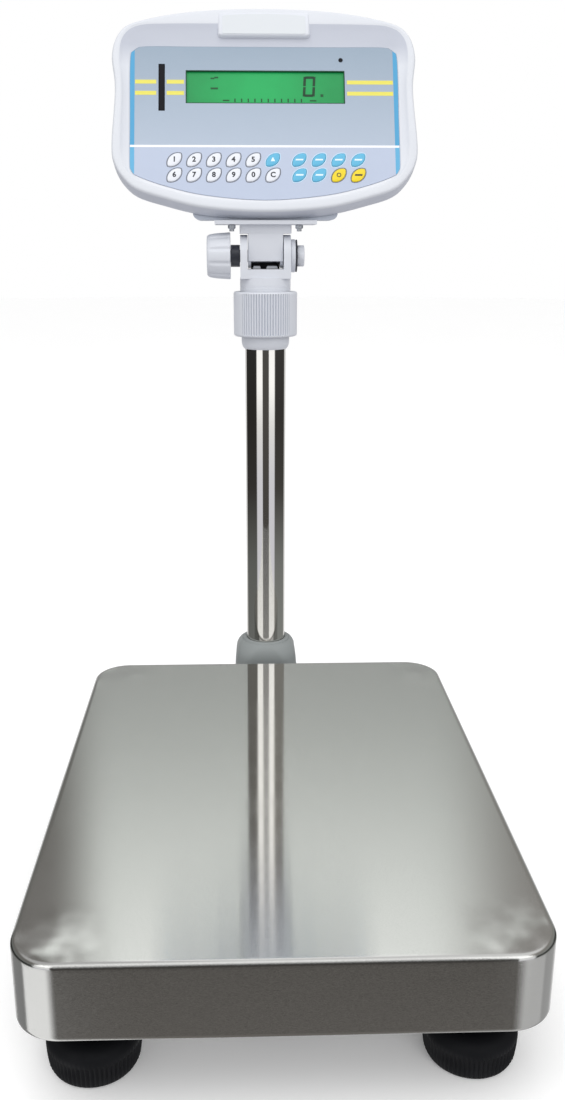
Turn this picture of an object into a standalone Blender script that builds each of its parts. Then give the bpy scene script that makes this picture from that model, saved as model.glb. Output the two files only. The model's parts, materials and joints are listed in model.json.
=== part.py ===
"""Bench scale: a steel base on four levelling feet carries a load cell and a stainless weighing pan.
A column behind the pan holds a swivelling, tilting indicator head with a display and twenty keys.

Units are metres, +Z is up and the front of the scale faces -Y. The origin is on the floor, in the
middle of the scale's bounding box. Head parts are modelled in the head's own frame: X to the right,
Y into the case, Z up the face, with the origin on the tilt axis.
"""

import math

import bmesh
import bpy
from mathutils import Matrix, Vector

GAP = 0.0003  # clearance between pieces that touch
REACH = 0.01  # how far a cutter runs past the face that it opens
UPRIGHT = Matrix.Rotation(math.pi / 2, 4, "X")  # stands a flat outline up as (across, height)
SIDEWAYS = Matrix.Rotation(math.pi / 2, 4, "Z") @ UPRIGHT  # the same as (depth, height)

# Pan and floor
PAN_WIDTH = 0.300
PAN_LENGTH = 0.400
PAN_TOP_Z = 0.100
PAN_SKIRT = 0.048
PAN_SHEET = 0.0012
PAN_CORNER = 0.028
PAN_EDGE = 0.003
PAN_FRONT_Y = -0.2694
PAN_CENTRE_Y = PAN_FRONT_Y + PAN_LENGTH / 2
PAN_UNDERSIDE_Z = PAN_TOP_Z - PAN_SHEET

# Base frame, a pressed channel that is open underneath
FRAME_TOP_Z = 0.050
FRAME_BOTTOM_Z = 0.030
FRAME_WALL = 0.0025
FRAME_HALF_WIDTH = 0.134
FRAME_CORNER = 0.005
CROSS_DEPTH = 0.040
SPINE_HALF_WIDTH = 0.034
REAR_PLATE_HALF_WIDTH = 0.058
FOOT_X = 0.111
FOOT_Y_OFFSET = 0.046  # from the pan's front and rear edges to the foot centres
FOOT_RADIUS = 0.028
FOOT_HEIGHT = 0.026
STUD_RADIUS = 0.005
STUD_HOLE = 0.0056
STUD_TOP_Z = 0.061

# Load cell and the support above it
CELL_SIZE = Vector((0.038, 0.150, 0.025))
CELL_PAD_HEIGHT = 0.004
CELL_END = 0.036
CELL_EYE_Y = 0.020
CELL_EYE_RADIUS = 0.0085
CELL_SLOT_HALF = 0.0045
CELL_TRAVEL_GAP = 0.0008
CELL_BOTTOM_Z = FRAME_TOP_Z + CELL_PAD_HEIGHT + GAP
CELL_TOP_Z = CELL_BOTTOM_Z + CELL_SIZE.z
BUFFER_HEIGHT = 0.004
BUFFER_RADIUS = 0.009
BUFFER_X = 0.112
BUFFER_Y_OFFSET = 0.055
SUPPORT_TOP_Z = PAN_UNDERSIDE_Z - BUFFER_HEIGHT - 2 * GAP
SUPPORT_BOTTOM_Z = CELL_TOP_Z + 0.004
SUPPORT_HALF_WIDTH = 0.128
SUPPORT_SPINE_HALF_WIDTH = 0.040
SUPPORT_ARM_DEPTH = 0.032

# Column
COLUMN_Y = PAN_FRONT_Y + 0.445
TUBE_RADIUS = 0.0175
TUBE_WALL = 0.0015
TUBE_BOTTOM_Z = 0.0585
TUBE_TOP_Z = 0.402
BOOT_TOP_Z = 0.109
FERRULE_RADIUS = 0.0205
FERRULE_BOTTOM_Z = 0.3745
FERRULE_SHOULDER_Z = 0.3850
FERRULE_TOP_Z = 0.410
RING_RADIUS = 0.0271
RING_BOTTOM_Z = FERRULE_SHOULDER_Z + GAP
RING_TOP_Z = 0.4222
RING_BORE = 0.0217

# Yoke and tilt clamp
SPIGOT_RADIUS = 0.0213
SPIGOT_CLEARANCE = 0.0013
CABLE_WAY_RADIUS = 0.0070
YOKE_BLOCK_BOTTOM_Z = 0.4330
YOKE_BLOCK_TOP_Z = 0.4406
YOKE_HALF_WIDTH = 0.0211
YOKE_ARM_INNER = 0.0151
YOKE_ARM_RADIUS = 0.0170
PIVOT_Z = 0.4512
BOLT_RADIUS = 0.005
BOLT_HOLE = 0.0054
BOLT_START_X = -0.0440
BOLT_END_X = 0.0310
KNOB_OUTER_X = -0.0491
KNOB_INNER_X = -0.0294
KNOB_RADIUS = 0.0192
SLEEVE_RADIUS = 0.0090
WASHER_RADIUS = 0.0134

# Head
TILT = math.radians(24)  # the face leans back by this much
FACE_Y = -0.0340  # floor of the recess that holds the panel
CASE_SPLIT_Y = -0.0200
CASE_BACK_Y = 0.0280
CREST_TOP = 0.0380
CREST_BOTTOM = 0.0358
CASE_WALL = 0.0025
FLANGE_BOTTOM = 0.0251  # below these heights, measured up from the tilt axis, is the bracket's neck
FLANGE_TOP = 0.0283
SCREW_X = 0.028
SCREW_Y = -0.008
SCREW_HOLE = 0.0024
RING_CENTRE = Vector((0.0, 0.105))
RING_COUNT = 64

# Panel features as (left, bottom, right, top) on the face
DISPLAY = (-0.0647, 0.1169, 0.0663, 0.1455)
LIGHT_BAR = (-0.0871, 0.1102, -0.0824, 0.1510)
KEY_FIELD = (-0.0845, 0.0455, 0.0865, 0.0760)
OVERLAY_THICKNESS = 0.0005
KEY_ROWS = (0.0672, 0.0540)
KEY_PITCH = 0.0161
KEY_LEFT_GROUP = (-0.0743, 6)
KEY_RIGHT_GROUP = (0.0279, 4)
KEY_LONG_RADIUS = 0.0074
KEY_SHORT_RADIUS = 0.0047
KEY_SLANT = math.radians(45)
KEY_NAMES = (
    ("1", "2", "3", "4", "5", "import", "low", "high", "percent", "count"),
    ("6", "7", "8", "9", "0", "clear", "unit", "print", "zero", "tare"),
)

BOARD_THICKNESS = 0.0016

# Connectors on the back of the head
JACK_PLACE = (0.035, 0.072)
JACK_RADIUS = 0.0056
JACK_BORE = 0.0030
SERIAL_PORT = (-0.0510, 0.0660, -0.0190, 0.0780)
CONNECTOR_START_Y = 0.0100
CONNECTOR_END_Y = 0.0360

# Half outlines of the head, bottom centre to top centre, as (half width, height)
WALL_HALF = (
    (0.0000, 0.0226), (0.0500, 0.0258), (0.0865, 0.0348), (0.1060, 0.0418), (0.1170, 0.0520),
    (0.1235, 0.0640), (0.1255, 0.0800), (0.1230, 0.1280), (0.1257, 0.1580), (0.1200, 0.1775),
    (0.1050, 0.1878), (0.0600, 0.1968), (0.0000, 0.1998),
)
RECESS_HALF = (
    (0.0000, 0.0305), (0.0500, 0.0338), (0.0860, 0.0425), (0.1050, 0.0505), (0.1150, 0.0610),
    (0.1185, 0.0780), (0.1175, 0.1280), (0.1195, 0.1560), (0.1165, 0.1735), (0.1050, 0.1830),
    (0.0800, 0.1852), (0.0000, 0.1855),
)
PANEL_HALF = (
    (0.0000, 0.0328), (0.0490, 0.0369), (0.0820, 0.0449), (0.1045, 0.0533), (0.1095, 0.0580),
    (0.1107, 0.0650), (0.1107, 0.1000), (0.1107, 0.1540), (0.1075, 0.1632), (0.0990, 0.1666),
    (0.0600, 0.1666), (0.0000, 0.1666),
)


def remove_everything():
    for item in list(bpy.data.objects):
        bpy.data.objects.remove(item, do_unlink=True)


def collection(name):
    found = bpy.data.collections.new(name)
    bpy.context.scene.collection.children.link(found)
    return found


def principled(name, colour, roughness, metallic=0.0):
    made = bpy.data.materials.new(name)
    made.use_nodes = True
    shader = made.node_tree.nodes["Principled BSDF"]
    shader.inputs["Base Color"].default_value = (*colour, 1.0)
    shader.inputs["Roughness"].default_value = roughness
    shader.inputs["Metallic"].default_value = metallic
    made.diffuse_color = (*colour, 1.0)
    return made


remove_everything()
PARTS = collection("bench_scale")
CUTTERS = collection("cutters")
STAINLESS = principled("brushed_stainless", (0.62, 0.61, 0.59), 0.32, 1.0)
CHROME = principled("polished_tube", (0.75, 0.75, 0.74), 0.08, 1.0)
FRAME_PAINT = principled("frame_paint", (0.05, 0.05, 0.055), 0.5)
ALUMINIUM = principled("load_cell_aluminium", (0.72, 0.73, 0.74), 0.4, 1.0)
ZINC = principled("zinc_steel", (0.55, 0.56, 0.58), 0.35, 1.0)
BLACK_RUBBER = principled("black_rubber", (0.02, 0.021, 0.023), 0.7)
BOOT_GREY = principled("boot_grey", (0.24, 0.27, 0.27), 0.5)
NECK_GREY = principled("neck_grey", (0.62, 0.65, 0.70), 0.42)
CASE_WHITE = principled("case_white", (0.83, 0.84, 0.86), 0.38)
CASE_GREY = principled("case_grey", (0.55, 0.58, 0.63), 0.42)
PANEL_BLUE = principled("panel_blue", (0.47, 0.56, 0.67), 0.4)
DISPLAY_GREEN = principled("display_green", (0.05, 0.42, 0.14), 0.2)
DARK_WINDOW = principled("dark_window", (0.01, 0.011, 0.02), 0.2)
BOARD_GREEN = principled("board_green", (0.02, 0.16, 0.06), 0.5)
BATTERY_GREY = principled("battery_grey", (0.12, 0.12, 0.13), 0.6)
KEY_WHITE = principled("key_white", (0.85, 0.87, 0.9), 0.35)
KEY_BLUE = principled("key_blue", (0.25, 0.62, 0.82), 0.35)
KEY_YELLOW = principled("key_yellow", (0.93, 0.80, 0.10), 0.35)


def empty(name, place, parent=None):
    made = bpy.data.objects.new(name, None)
    made.empty_display_size = 0.02
    made.location = place
    made.parent = parent
    PARTS.objects.link(made)
    return made


def add_part(name, mesh, material, parent=None, place=(0, 0, 0), smooth=35):
    """Links one named sub-part with its material and smooth shading up to the given angle."""
    mesh.materials.clear()
    mesh.materials.append(material)
    mesh.shade_smooth()
    mesh.set_sharp_from_angle(angle=math.radians(smooth))
    made = bpy.data.objects.new(name, mesh)
    made.parent = parent
    made.location = place
    PARTS.objects.link(made)
    return made


def as_cutter(mesh, parent=None, place=(0, 0, 0)):
    made = bpy.data.objects.new("cutter", mesh)
    made.parent = parent
    made.location = place
    made.hide_render = True
    made.display_type = "WIRE"
    CUTTERS.objects.link(made)
    return made


def boolean(target, mesh, operation, place=None):
    """Cuts or joins a mesh given in the target's own frame, or at a place in its parent's frame."""
    tool = as_cutter(mesh, target.parent, target.location if place is None else place)
    step = target.modifiers.new(operation.lower(), "BOOLEAN")
    step.operation = operation
    step.solver = "EXACT"
    step.object = tool


def cut(target, mesh, place=None):
    boolean(target, mesh, "DIFFERENCE", place)


def join(target, mesh, place=None):
    boolean(target, mesh, "UNION", place)


def mesh_from(work, name):
    bmesh.ops.recalc_face_normals(work, faces=work.faces)
    mesh = bpy.data.meshes.new(name)
    work.to_mesh(mesh)
    work.free()
    return mesh


def box(low, high, bevel=0.0, segments=2, only_upright=False):
    """A box between two corners, with all of its edges or only the upright ones rounded."""
    low, high = Vector(low), Vector(high)
    work = bmesh.new()
    bmesh.ops.create_cube(work, size=1.0)
    bmesh.ops.scale(work, vec=high - low, verts=work.verts)
    bmesh.ops.translate(work, vec=(low + high) / 2, verts=work.verts)
    edges = work.edges[:]
    if only_upright:
        edges = [edge for edge in edges if abs(edge.verts[0].co.z - edge.verts[1].co.z) > bevel]
    if bevel:
        bmesh.ops.bevel(
            work, geom=edges, offset=bevel, segments=segments, profile=0.5, affect="EDGES"
        )
    return mesh_from(work, "box")


def cylinder(radius, start, end, axis="Z", sides=32, centre=(0, 0, 0)):
    """A capped cylinder whose ends lie at start and end along the axis."""
    turn = {"X": Matrix.Rotation(math.pi / 2, 4, "Y"), "Y": Matrix.Rotation(-math.pi / 2, 4, "X")}
    along = {"X": Vector((1, 0, 0)), "Y": Vector((0, 1, 0)), "Z": Vector((0, 0, 1))}[axis]
    place = Matrix.Translation(Vector(centre) + along * (start + end) / 2)
    work = bmesh.new()
    bmesh.ops.create_cone(
        work, cap_ends=True, segments=sides, radius1=radius, radius2=radius,
        depth=end - start, matrix=place @ turn.get(axis, Matrix.Identity(4)),
    )
    return mesh_from(work, "cylinder")


def turned(name, profile, material, parent=None, place=(0, 0, 0), steps=32, axis="Z", closed=False):
    """A Screw of a profile of (radius, position): down the outer side on Z, along it on X."""
    points = [(radius, 0.0, height) for radius, height in profile]
    if axis == "X":
        points = [(height, radius, 0.0) for radius, height in reversed(profile)]
    edges = [(index, index + 1) for index in range(len(points) - 1)]
    if closed:
        edges.append((len(points) - 1, 0))
    mesh = bpy.data.meshes.new(name)
    mesh.from_pydata(points, edges, [])
    made = add_part(name, mesh, material, parent, place)
    spin = made.modifiers.new("spin", "SCREW")
    spin.axis = axis
    spin.steps = steps
    spin.render_steps = steps
    spin.use_merge_vertices = True
    spin.merge_threshold = 0.00001
    spin.use_smooth_shade = True
    return made


def loft(rings, cap_first=True, cap_last=True, loop=False):
    """Joins rings of equally many points with quads, and caps the ends or closes it on itself."""
    work = bmesh.new()
    rows = [[work.verts.new(point) for point in ring] for ring in rings]
    pairs = list(zip(rows, rows[1:]))
    if loop:
        pairs.append((rows[-1], rows[0]))
    count = len(rows[0])
    for near, far in pairs:
        for index in range(count):
            after = (index + 1) % count
            work.faces.new((near[index], near[after], far[after], far[index]))
    if cap_first and not loop:
        work.faces.new(reversed(rows[0]))
    if cap_last and not loop:
        work.faces.new(rows[-1])
    return mesh_from(work, "loft")


def extruded(outlines, thickness):
    """A flat outline of (x, y) points, with any holes after it, as a 2D curve turned into a mesh."""
    curve = bpy.data.curves.new("outline", "CURVE")
    curve.dimensions = "2D"
    curve.fill_mode = "BOTH"
    curve.extrude = thickness / 2
    for outline in outlines:
        line = curve.splines.new("POLY")
        line.points.add(len(outline) - 1)
        for point, (x, y) in zip(line.points, outline):
            point.co = (x, y, 0.0, 1.0)
        line.use_cyclic_u = True
    holder = bpy.data.objects.new("outline", curve)
    bpy.context.scene.collection.objects.link(holder)
    bpy.context.view_layer.update()
    evaluated = holder.evaluated_get(bpy.context.evaluated_depsgraph_get())
    mesh = bpy.data.meshes.new_from_object(evaluated)
    bpy.data.objects.remove(holder, do_unlink=True)
    work = bmesh.new()
    work.from_mesh(mesh)
    bmesh.ops.remove_doubles(work, verts=work.verts, dist=0.00001)
    return mesh_from(work, "extruded")


def rounded_rectangle(half_x, half_y, radius, steps=6):
    """Points of a rectangle with round corners, anticlockwise from the right-hand side."""
    points = []
    for corner, (sign_x, sign_y) in enumerate(((1, 1), (-1, 1), (-1, -1), (1, -1))):
        centre = Vector((sign_x * (half_x - radius), sign_y * (half_y - radius)))
        for step in range(steps + 1):
            angle = math.pi / 2 * (corner + step / steps)
            points.append(centre + radius * Vector((math.cos(angle), math.sin(angle))))
    return points


def flat_ring(points, height, centre=(0.0, 0.0)):
    return [(x + centre[0], y + centre[1], height) for x, y in points]


def smooth_outline(half, steps=8):
    """A closed Catmull-Rom curve through a half outline and its mirror image."""
    mirrored = [(-x, y) for x, y in reversed(half[1:-1])]
    knots = [Vector(point) for point in list(half) + mirrored]
    count = len(knots)
    points = []
    for index in range(count):
        a, b, c, d = (knots[(index + offset) % count] for offset in (-1, 0, 1, 2))
        for step in range(steps):
            t = step / steps
            points.append(
                0.5 * (2 * b + (c - a) * t + (2 * a - 5 * b + 4 * c - d) * t ** 2
                       + (3 * b - a - 3 * c + d) * t ** 3)
            )
    return points


def inset(points, distance):
    """Moves each point of an anticlockwise outline inwards along its normal."""
    moved = []
    for index, point in enumerate(points):
        along = points[(index + 1) % len(points)] - points[index - 1]
        normal = Vector((-along.y, along.x)).normalized()
        moved.append(point + normal * distance)
    return moved


def even_ring(outline, count=RING_COUNT):
    """Samples an outline at even angles round RING_CENTRE, so that different outlines match."""
    ring = []
    for number in range(count):
        angle = 2 * math.pi * number / count
        ray = Vector((math.cos(angle), math.sin(angle)))
        for index, start in enumerate(outline):
            a, b = outline[index - 1] - RING_CENTRE, start - RING_CENTRE
            side_a, side_b = ray.cross(a), ray.cross(b)
            if side_a <= 0 < side_b and a.dot(ray) + b.dot(ray) > 0:
                ring.append(RING_CENTRE + a.lerp(b, side_a / (side_a - side_b)))
                break
    return ring


def head_ring(points, depth):
    """Places an outline of the face at a depth in the head, where -Y is the face's outer side."""
    return [(point.x, depth, point.y) for point in points]


WALL = smooth_outline(WALL_HALF)
RECESS = smooth_outline(RECESS_HALF)
PANEL = smooth_outline(PANEL_HALF)


def weighing_pan():
    half_x, half_y = PAN_WIDTH / 2, PAN_LENGTH / 2
    centre = (0.0, PAN_CENTRE_Y)
    rings = [flat_ring(rounded_rectangle(half_x, half_y, PAN_CORNER), PAN_TOP_Z - PAN_SKIRT, centre)]
    for angle in (0, 30, 60, 90):
        turn = math.radians(angle)
        shrink = PAN_EDGE * (1 - math.cos(turn))
        height = PAN_TOP_Z - PAN_EDGE * (1 - math.sin(turn))
        outline = rounded_rectangle(half_x - shrink, half_y - shrink, PAN_CORNER - shrink)
        rings.append(flat_ring(outline, height, centre))
    pan = add_part("weighing_pan", loft(rings, cap_first=False), STAINLESS)
    shell = pan.modifiers.new("sheet", "SOLIDIFY")
    shell.thickness = PAN_SHEET
    shell.offset = -1.0
    return pan


def foot_centres():
    """Each foot's name and its centre on the floor."""
    front = PAN_FRONT_Y + FOOT_Y_OFFSET
    rear = PAN_FRONT_Y + PAN_LENGTH - FOOT_Y_OFFSET
    return (
        ("foot_front_left", (-FOOT_X, front)), ("foot_front_right", (FOOT_X, front)),
        ("foot_rear_left", (-FOOT_X, rear)), ("foot_rear_right", (FOOT_X, rear)),
    )


def base_frame():
    """Two cross channels, a spine and a rear plate, joined and then hollowed from below."""
    front = PAN_FRONT_Y + FOOT_Y_OFFSET
    rear = PAN_FRONT_Y + PAN_LENGTH - FOOT_Y_OFFSET
    blocks = (
        ((-FRAME_HALF_WIDTH, front - CROSS_DEPTH / 2), (FRAME_HALF_WIDTH, front + CROSS_DEPTH / 2)),
        ((-FRAME_HALF_WIDTH, rear - CROSS_DEPTH / 2), (FRAME_HALF_WIDTH, rear + CROSS_DEPTH / 2)),
        ((-REAR_PLATE_HALF_WIDTH, COLUMN_Y - 0.040), (REAR_PLATE_HALF_WIDTH, COLUMN_Y + 0.034)),
    )
    low = Vector((-SPINE_HALF_WIDTH, front, FRAME_BOTTOM_Z))
    high = Vector((SPINE_HALF_WIDTH, COLUMN_Y, FRAME_TOP_Z))
    frame = add_part("base_frame", box(low, high), FRAME_PAINT)
    for (x0, y0), (x1, y1) in blocks:
        block = box((x0, y0, low.z), (x1, y1, high.z), FRAME_CORNER, only_upright=True)
        join(frame, block)
    pad_end = PAN_CENTRE_Y - CELL_SIZE.y / 2 + CELL_END
    pad_low = (-CELL_SIZE.x / 2, PAN_CENTRE_Y - CELL_SIZE.y / 2, FRAME_TOP_Z - FRAME_WALL / 2)
    join(frame, box(pad_low, (CELL_SIZE.x / 2, pad_end, FRAME_TOP_Z + CELL_PAD_HEIGHT)))
    wall = FRAME_WALL
    floor, ceiling = FRAME_BOTTOM_Z - REACH, FRAME_TOP_Z - wall
    hollow_low = (low.x + wall, low.y + wall, floor)
    cut(frame, box(hollow_low, (high.x - wall, high.y - wall, ceiling)))
    for (x0, y0), (x1, y1) in blocks:
        cut(frame, box((x0 + wall, y0 + wall, floor), (x1 - wall, y1 - wall, ceiling)))
    for _, (x, y) in foot_centres():
        hole = cylinder(STUD_HOLE, floor, FRAME_TOP_Z + REACH, sides=16, centre=(x, y, 0))
        cut(frame, hole)


def feet():
    for name, (x, y) in foot_centres():
        profile = (
            (0.0, STUD_TOP_Z), (STUD_RADIUS, STUD_TOP_Z), (STUD_RADIUS, FOOT_HEIGHT),
            (FOOT_RADIUS - 0.008, FOOT_HEIGHT), (FOOT_RADIUS, FOOT_HEIGHT - 0.005),
            (FOOT_RADIUS, 0.003), (FOOT_RADIUS - 0.003, 0.0), (0.0, 0.0),
        )
        turned(name, profile, BLACK_RUBBER, None, (x, y, 0.0), steps=32)


def load_cell():
    """A single-point cell: a bar with a window of two round ends joined by a slot."""
    half = CELL_SIZE / 2
    centre = Vector((0.0, PAN_CENTRE_Y, CELL_BOTTOM_Z + half.z))
    cell = add_part("load_cell", box(-half, half, 0.0008, segments=1), ALUMINIUM, None, centre)
    across = half.x + REACH
    for y in (-CELL_EYE_Y, CELL_EYE_Y):
        cut(cell, cylinder(CELL_EYE_RADIUS, -across, across, "X", 24, (0, y, 0)))
    slot = Vector((across, CELL_EYE_Y, CELL_SLOT_HALF))
    cut(cell, box(-slot, slot))


def cell_spacer():
    loaded_end = PAN_CENTRE_Y + CELL_SIZE.y / 2
    low = (-CELL_SIZE.x / 2, loaded_end - CELL_END, CELL_TOP_Z + CELL_TRAVEL_GAP)
    top = SUPPORT_TOP_Z - FRAME_WALL - GAP
    add_part("cell_spacer", box(low, (CELL_SIZE.x / 2, loaded_end, top)), ALUMINIUM)


def pan_support():
    """An H of pressed channel that carries the four buffers under the pan."""
    front = PAN_FRONT_Y + BUFFER_Y_OFFSET
    rear = PAN_FRONT_Y + PAN_LENGTH - BUFFER_Y_OFFSET
    arm = SUPPORT_ARM_DEPTH / 2
    blocks = (
        ((-SUPPORT_HALF_WIDTH, front - arm), (SUPPORT_HALF_WIDTH, front + arm)),
        ((-SUPPORT_HALF_WIDTH, rear - arm), (SUPPORT_HALF_WIDTH, rear + arm)),
    )
    bottom, top, wall = SUPPORT_BOTTOM_Z, SUPPORT_TOP_Z, FRAME_WALL
    spine_low = (-SUPPORT_SPINE_HALF_WIDTH, front, bottom)
    support = add_part(
        "pan_support", box(spine_low, (SUPPORT_SPINE_HALF_WIDTH, rear, top)), FRAME_PAINT
    )
    for (x0, y0), (x1, y1) in blocks:
        join(support, box((x0, y0, bottom), (x1, y1, top), FRAME_CORNER, only_upright=True))
    floor, ceiling = bottom - REACH, top - wall
    hollow_high = (SUPPORT_SPINE_HALF_WIDTH - wall, rear - wall, ceiling)
    cut(support, box((wall - SUPPORT_SPINE_HALF_WIDTH, front + wall, floor), hollow_high))
    for (x0, y0), (x1, y1) in blocks:
        cut(support, box((x0 + wall, y0 + wall, floor), (x1 - wall, y1 - wall, ceiling)))


def pan_buffers():
    front = PAN_FRONT_Y + BUFFER_Y_OFFSET
    rear = PAN_FRONT_Y + PAN_LENGTH - BUFFER_Y_OFFSET
    places = (
        ("front_left", -BUFFER_X, front), ("front_right", BUFFER_X, front),
        ("rear_left", -BUFFER_X, rear), ("rear_right", BUFFER_X, rear),
    )
    profile = (
        (0.0, BUFFER_HEIGHT), (BUFFER_RADIUS - 0.001, BUFFER_HEIGHT),
        (BUFFER_RADIUS, BUFFER_HEIGHT - 0.001), (BUFFER_RADIUS, 0.0), (0.0, 0.0),
    )
    for name, x, y in places:
        place = (x, y, SUPPORT_TOP_Z + GAP)
        turned("pan_buffer_" + name, profile, BLACK_RUBBER, None, place, steps=20)


def spirit_level():
    profile = ((0.0, 0.0085), (0.0065, 0.0085), (0.008, 0.007), (0.008, 0.0), (0.0, 0.0))
    place = (REAR_PLATE_HALF_WIDTH - 0.013, COLUMN_Y - 0.012, FRAME_TOP_Z + GAP)
    turned("spirit_level", profile, DARK_WINDOW, None, place, steps=20)


def column_bracket():
    """A flanged socket that stands on the rear plate and takes the foot of the column."""
    outer, flange, cable_way, bore = 0.0225, 0.0258, 0.0080, TUBE_RADIUS + GAP
    top, bottom, seat = 0.0980, FRAME_TOP_Z + GAP, TUBE_BOTTOM_Z - GAP
    step = bottom + 0.006
    profile = (
        (outer, top), (outer, step), (flange, step), (flange, bottom),
        (cable_way, bottom), (cable_way, seat), (bore, seat), (bore, top),
    )
    turned("column_bracket", profile, ZINC, None, (0, COLUMN_Y, 0), steps=32, closed=True)


def column_boot():
    """A moulded cover, square with round corners at its foot and round where the tube comes out."""
    levels = (
        (0.0506, 0.0300, 0.013), (0.0820, 0.0284, 0.014), (0.0980, 0.0270, 0.016),
        (0.1035, 0.0250, 0.019), (0.1070, 0.0225, 0.0205), (BOOT_TOP_Z, 0.0195, 0.0194),
    )
    wall, lip, mouth = 0.0020, 0.0035, TUBE_RADIUS + GAP
    sections = [(z, half, corner) for z, half, corner in levels]
    sections += [(BOOT_TOP_Z - depth, mouth, mouth - 0.0001) for depth in (0.0005, lip)]
    sections += [(z, half - wall, corner - wall) for z, half, corner in reversed(levels[:3])]
    rings = [
        flat_ring(rounded_rectangle(half, half, corner, 7), z, (0.0, COLUMN_Y))
        for z, half, corner in sections
    ]
    add_part("column_boot", loft(rings, loop=True), BOOT_GREY)


def column_tube():
    inner = TUBE_RADIUS - TUBE_WALL
    profile = (
        (TUBE_RADIUS, TUBE_TOP_Z), (TUBE_RADIUS, TUBE_BOTTOM_Z),
        (inner, TUBE_BOTTOM_Z), (inner, TUBE_TOP_Z),
    )
    turned("column_tube", profile, CHROME, None, (0, COLUMN_Y, 0), steps=48, closed=True)


def column_ferrule():
    """A threaded sleeve on the tube's top; the lock ring covers all but its tapered foot."""
    bore, cable_way, seat = TUBE_RADIUS + GAP, 0.0120, TUBE_TOP_Z + GAP
    profile = (
        (FERRULE_RADIUS, FERRULE_TOP_Z), (FERRULE_RADIUS, FERRULE_BOTTOM_Z + 0.005),
        (FERRULE_RADIUS - 0.0007, FERRULE_BOTTOM_Z + 0.002),
        (FERRULE_RADIUS - 0.0021, FERRULE_BOTTOM_Z), (bore, FERRULE_BOTTOM_Z),
        (bore, seat), (cable_way, seat), (cable_way, FERRULE_TOP_Z),
    )
    turned("column_ferrule", profile, NECK_GREY, None, (0, COLUMN_Y, 0), steps=40, closed=True)


def lock_ring():
    lip = 0.0015
    profile = (
        (RING_RADIUS - lip, RING_TOP_Z), (RING_RADIUS, RING_TOP_Z - lip),
        (RING_RADIUS - 0.0006, RING_BOTTOM_Z + 0.0008), (RING_RADIUS - 0.0014, RING_BOTTOM_Z),
        (RING_BORE, RING_BOTTOM_Z), (RING_BORE, RING_TOP_Z),
    )
    turned("lock_ring", profile, NECK_GREY, None, (0, COLUMN_Y, 0), steps=48, closed=True)


def arm_outline():
    """Side view of the yoke's arms, as (forward, up) from the tilt axis, with a round top."""
    drop = YOKE_BLOCK_BOTTOM_Z - PIVOT_Z
    points = [(-YOKE_ARM_RADIUS, drop), (YOKE_ARM_RADIUS, drop)]
    for step in range(13):
        angle = math.pi * step / 12
        points.append((YOKE_ARM_RADIUS * math.cos(angle), YOKE_ARM_RADIUS * math.sin(angle)))
    return points


def swivel_yoke(swivel):
    """The U-shaped yoke on its round spigot, in a frame on the column's axis at the tilt axis."""
    mesh = extruded([arm_outline()], 2 * YOKE_HALF_WIDTH)
    mesh.transform(SIDEWAYS)
    yoke = add_part("swivel_yoke", mesh, NECK_GREY, swivel)
    floor = YOKE_BLOCK_TOP_Z - PIVOT_Z
    cut(yoke, box((-YOKE_ARM_INNER, -0.05, floor), (YOKE_ARM_INNER, 0.05, 0.05)))
    spigot_bottom = FERRULE_TOP_Z + SPIGOT_CLEARANCE - PIVOT_Z
    overlap = 0.0008
    spigot_top = YOKE_BLOCK_BOTTOM_Z - PIVOT_Z + overlap
    join(yoke, cylinder(SPIGOT_RADIUS, spigot_bottom, spigot_top, sides=40))
    cut(yoke, cylinder(CABLE_WAY_RADIUS, spigot_bottom - REACH, 0.0, sides=20))
    cut(yoke, cylinder(BOLT_HOLE, -0.05, 0.05, "X", 24))


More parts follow.
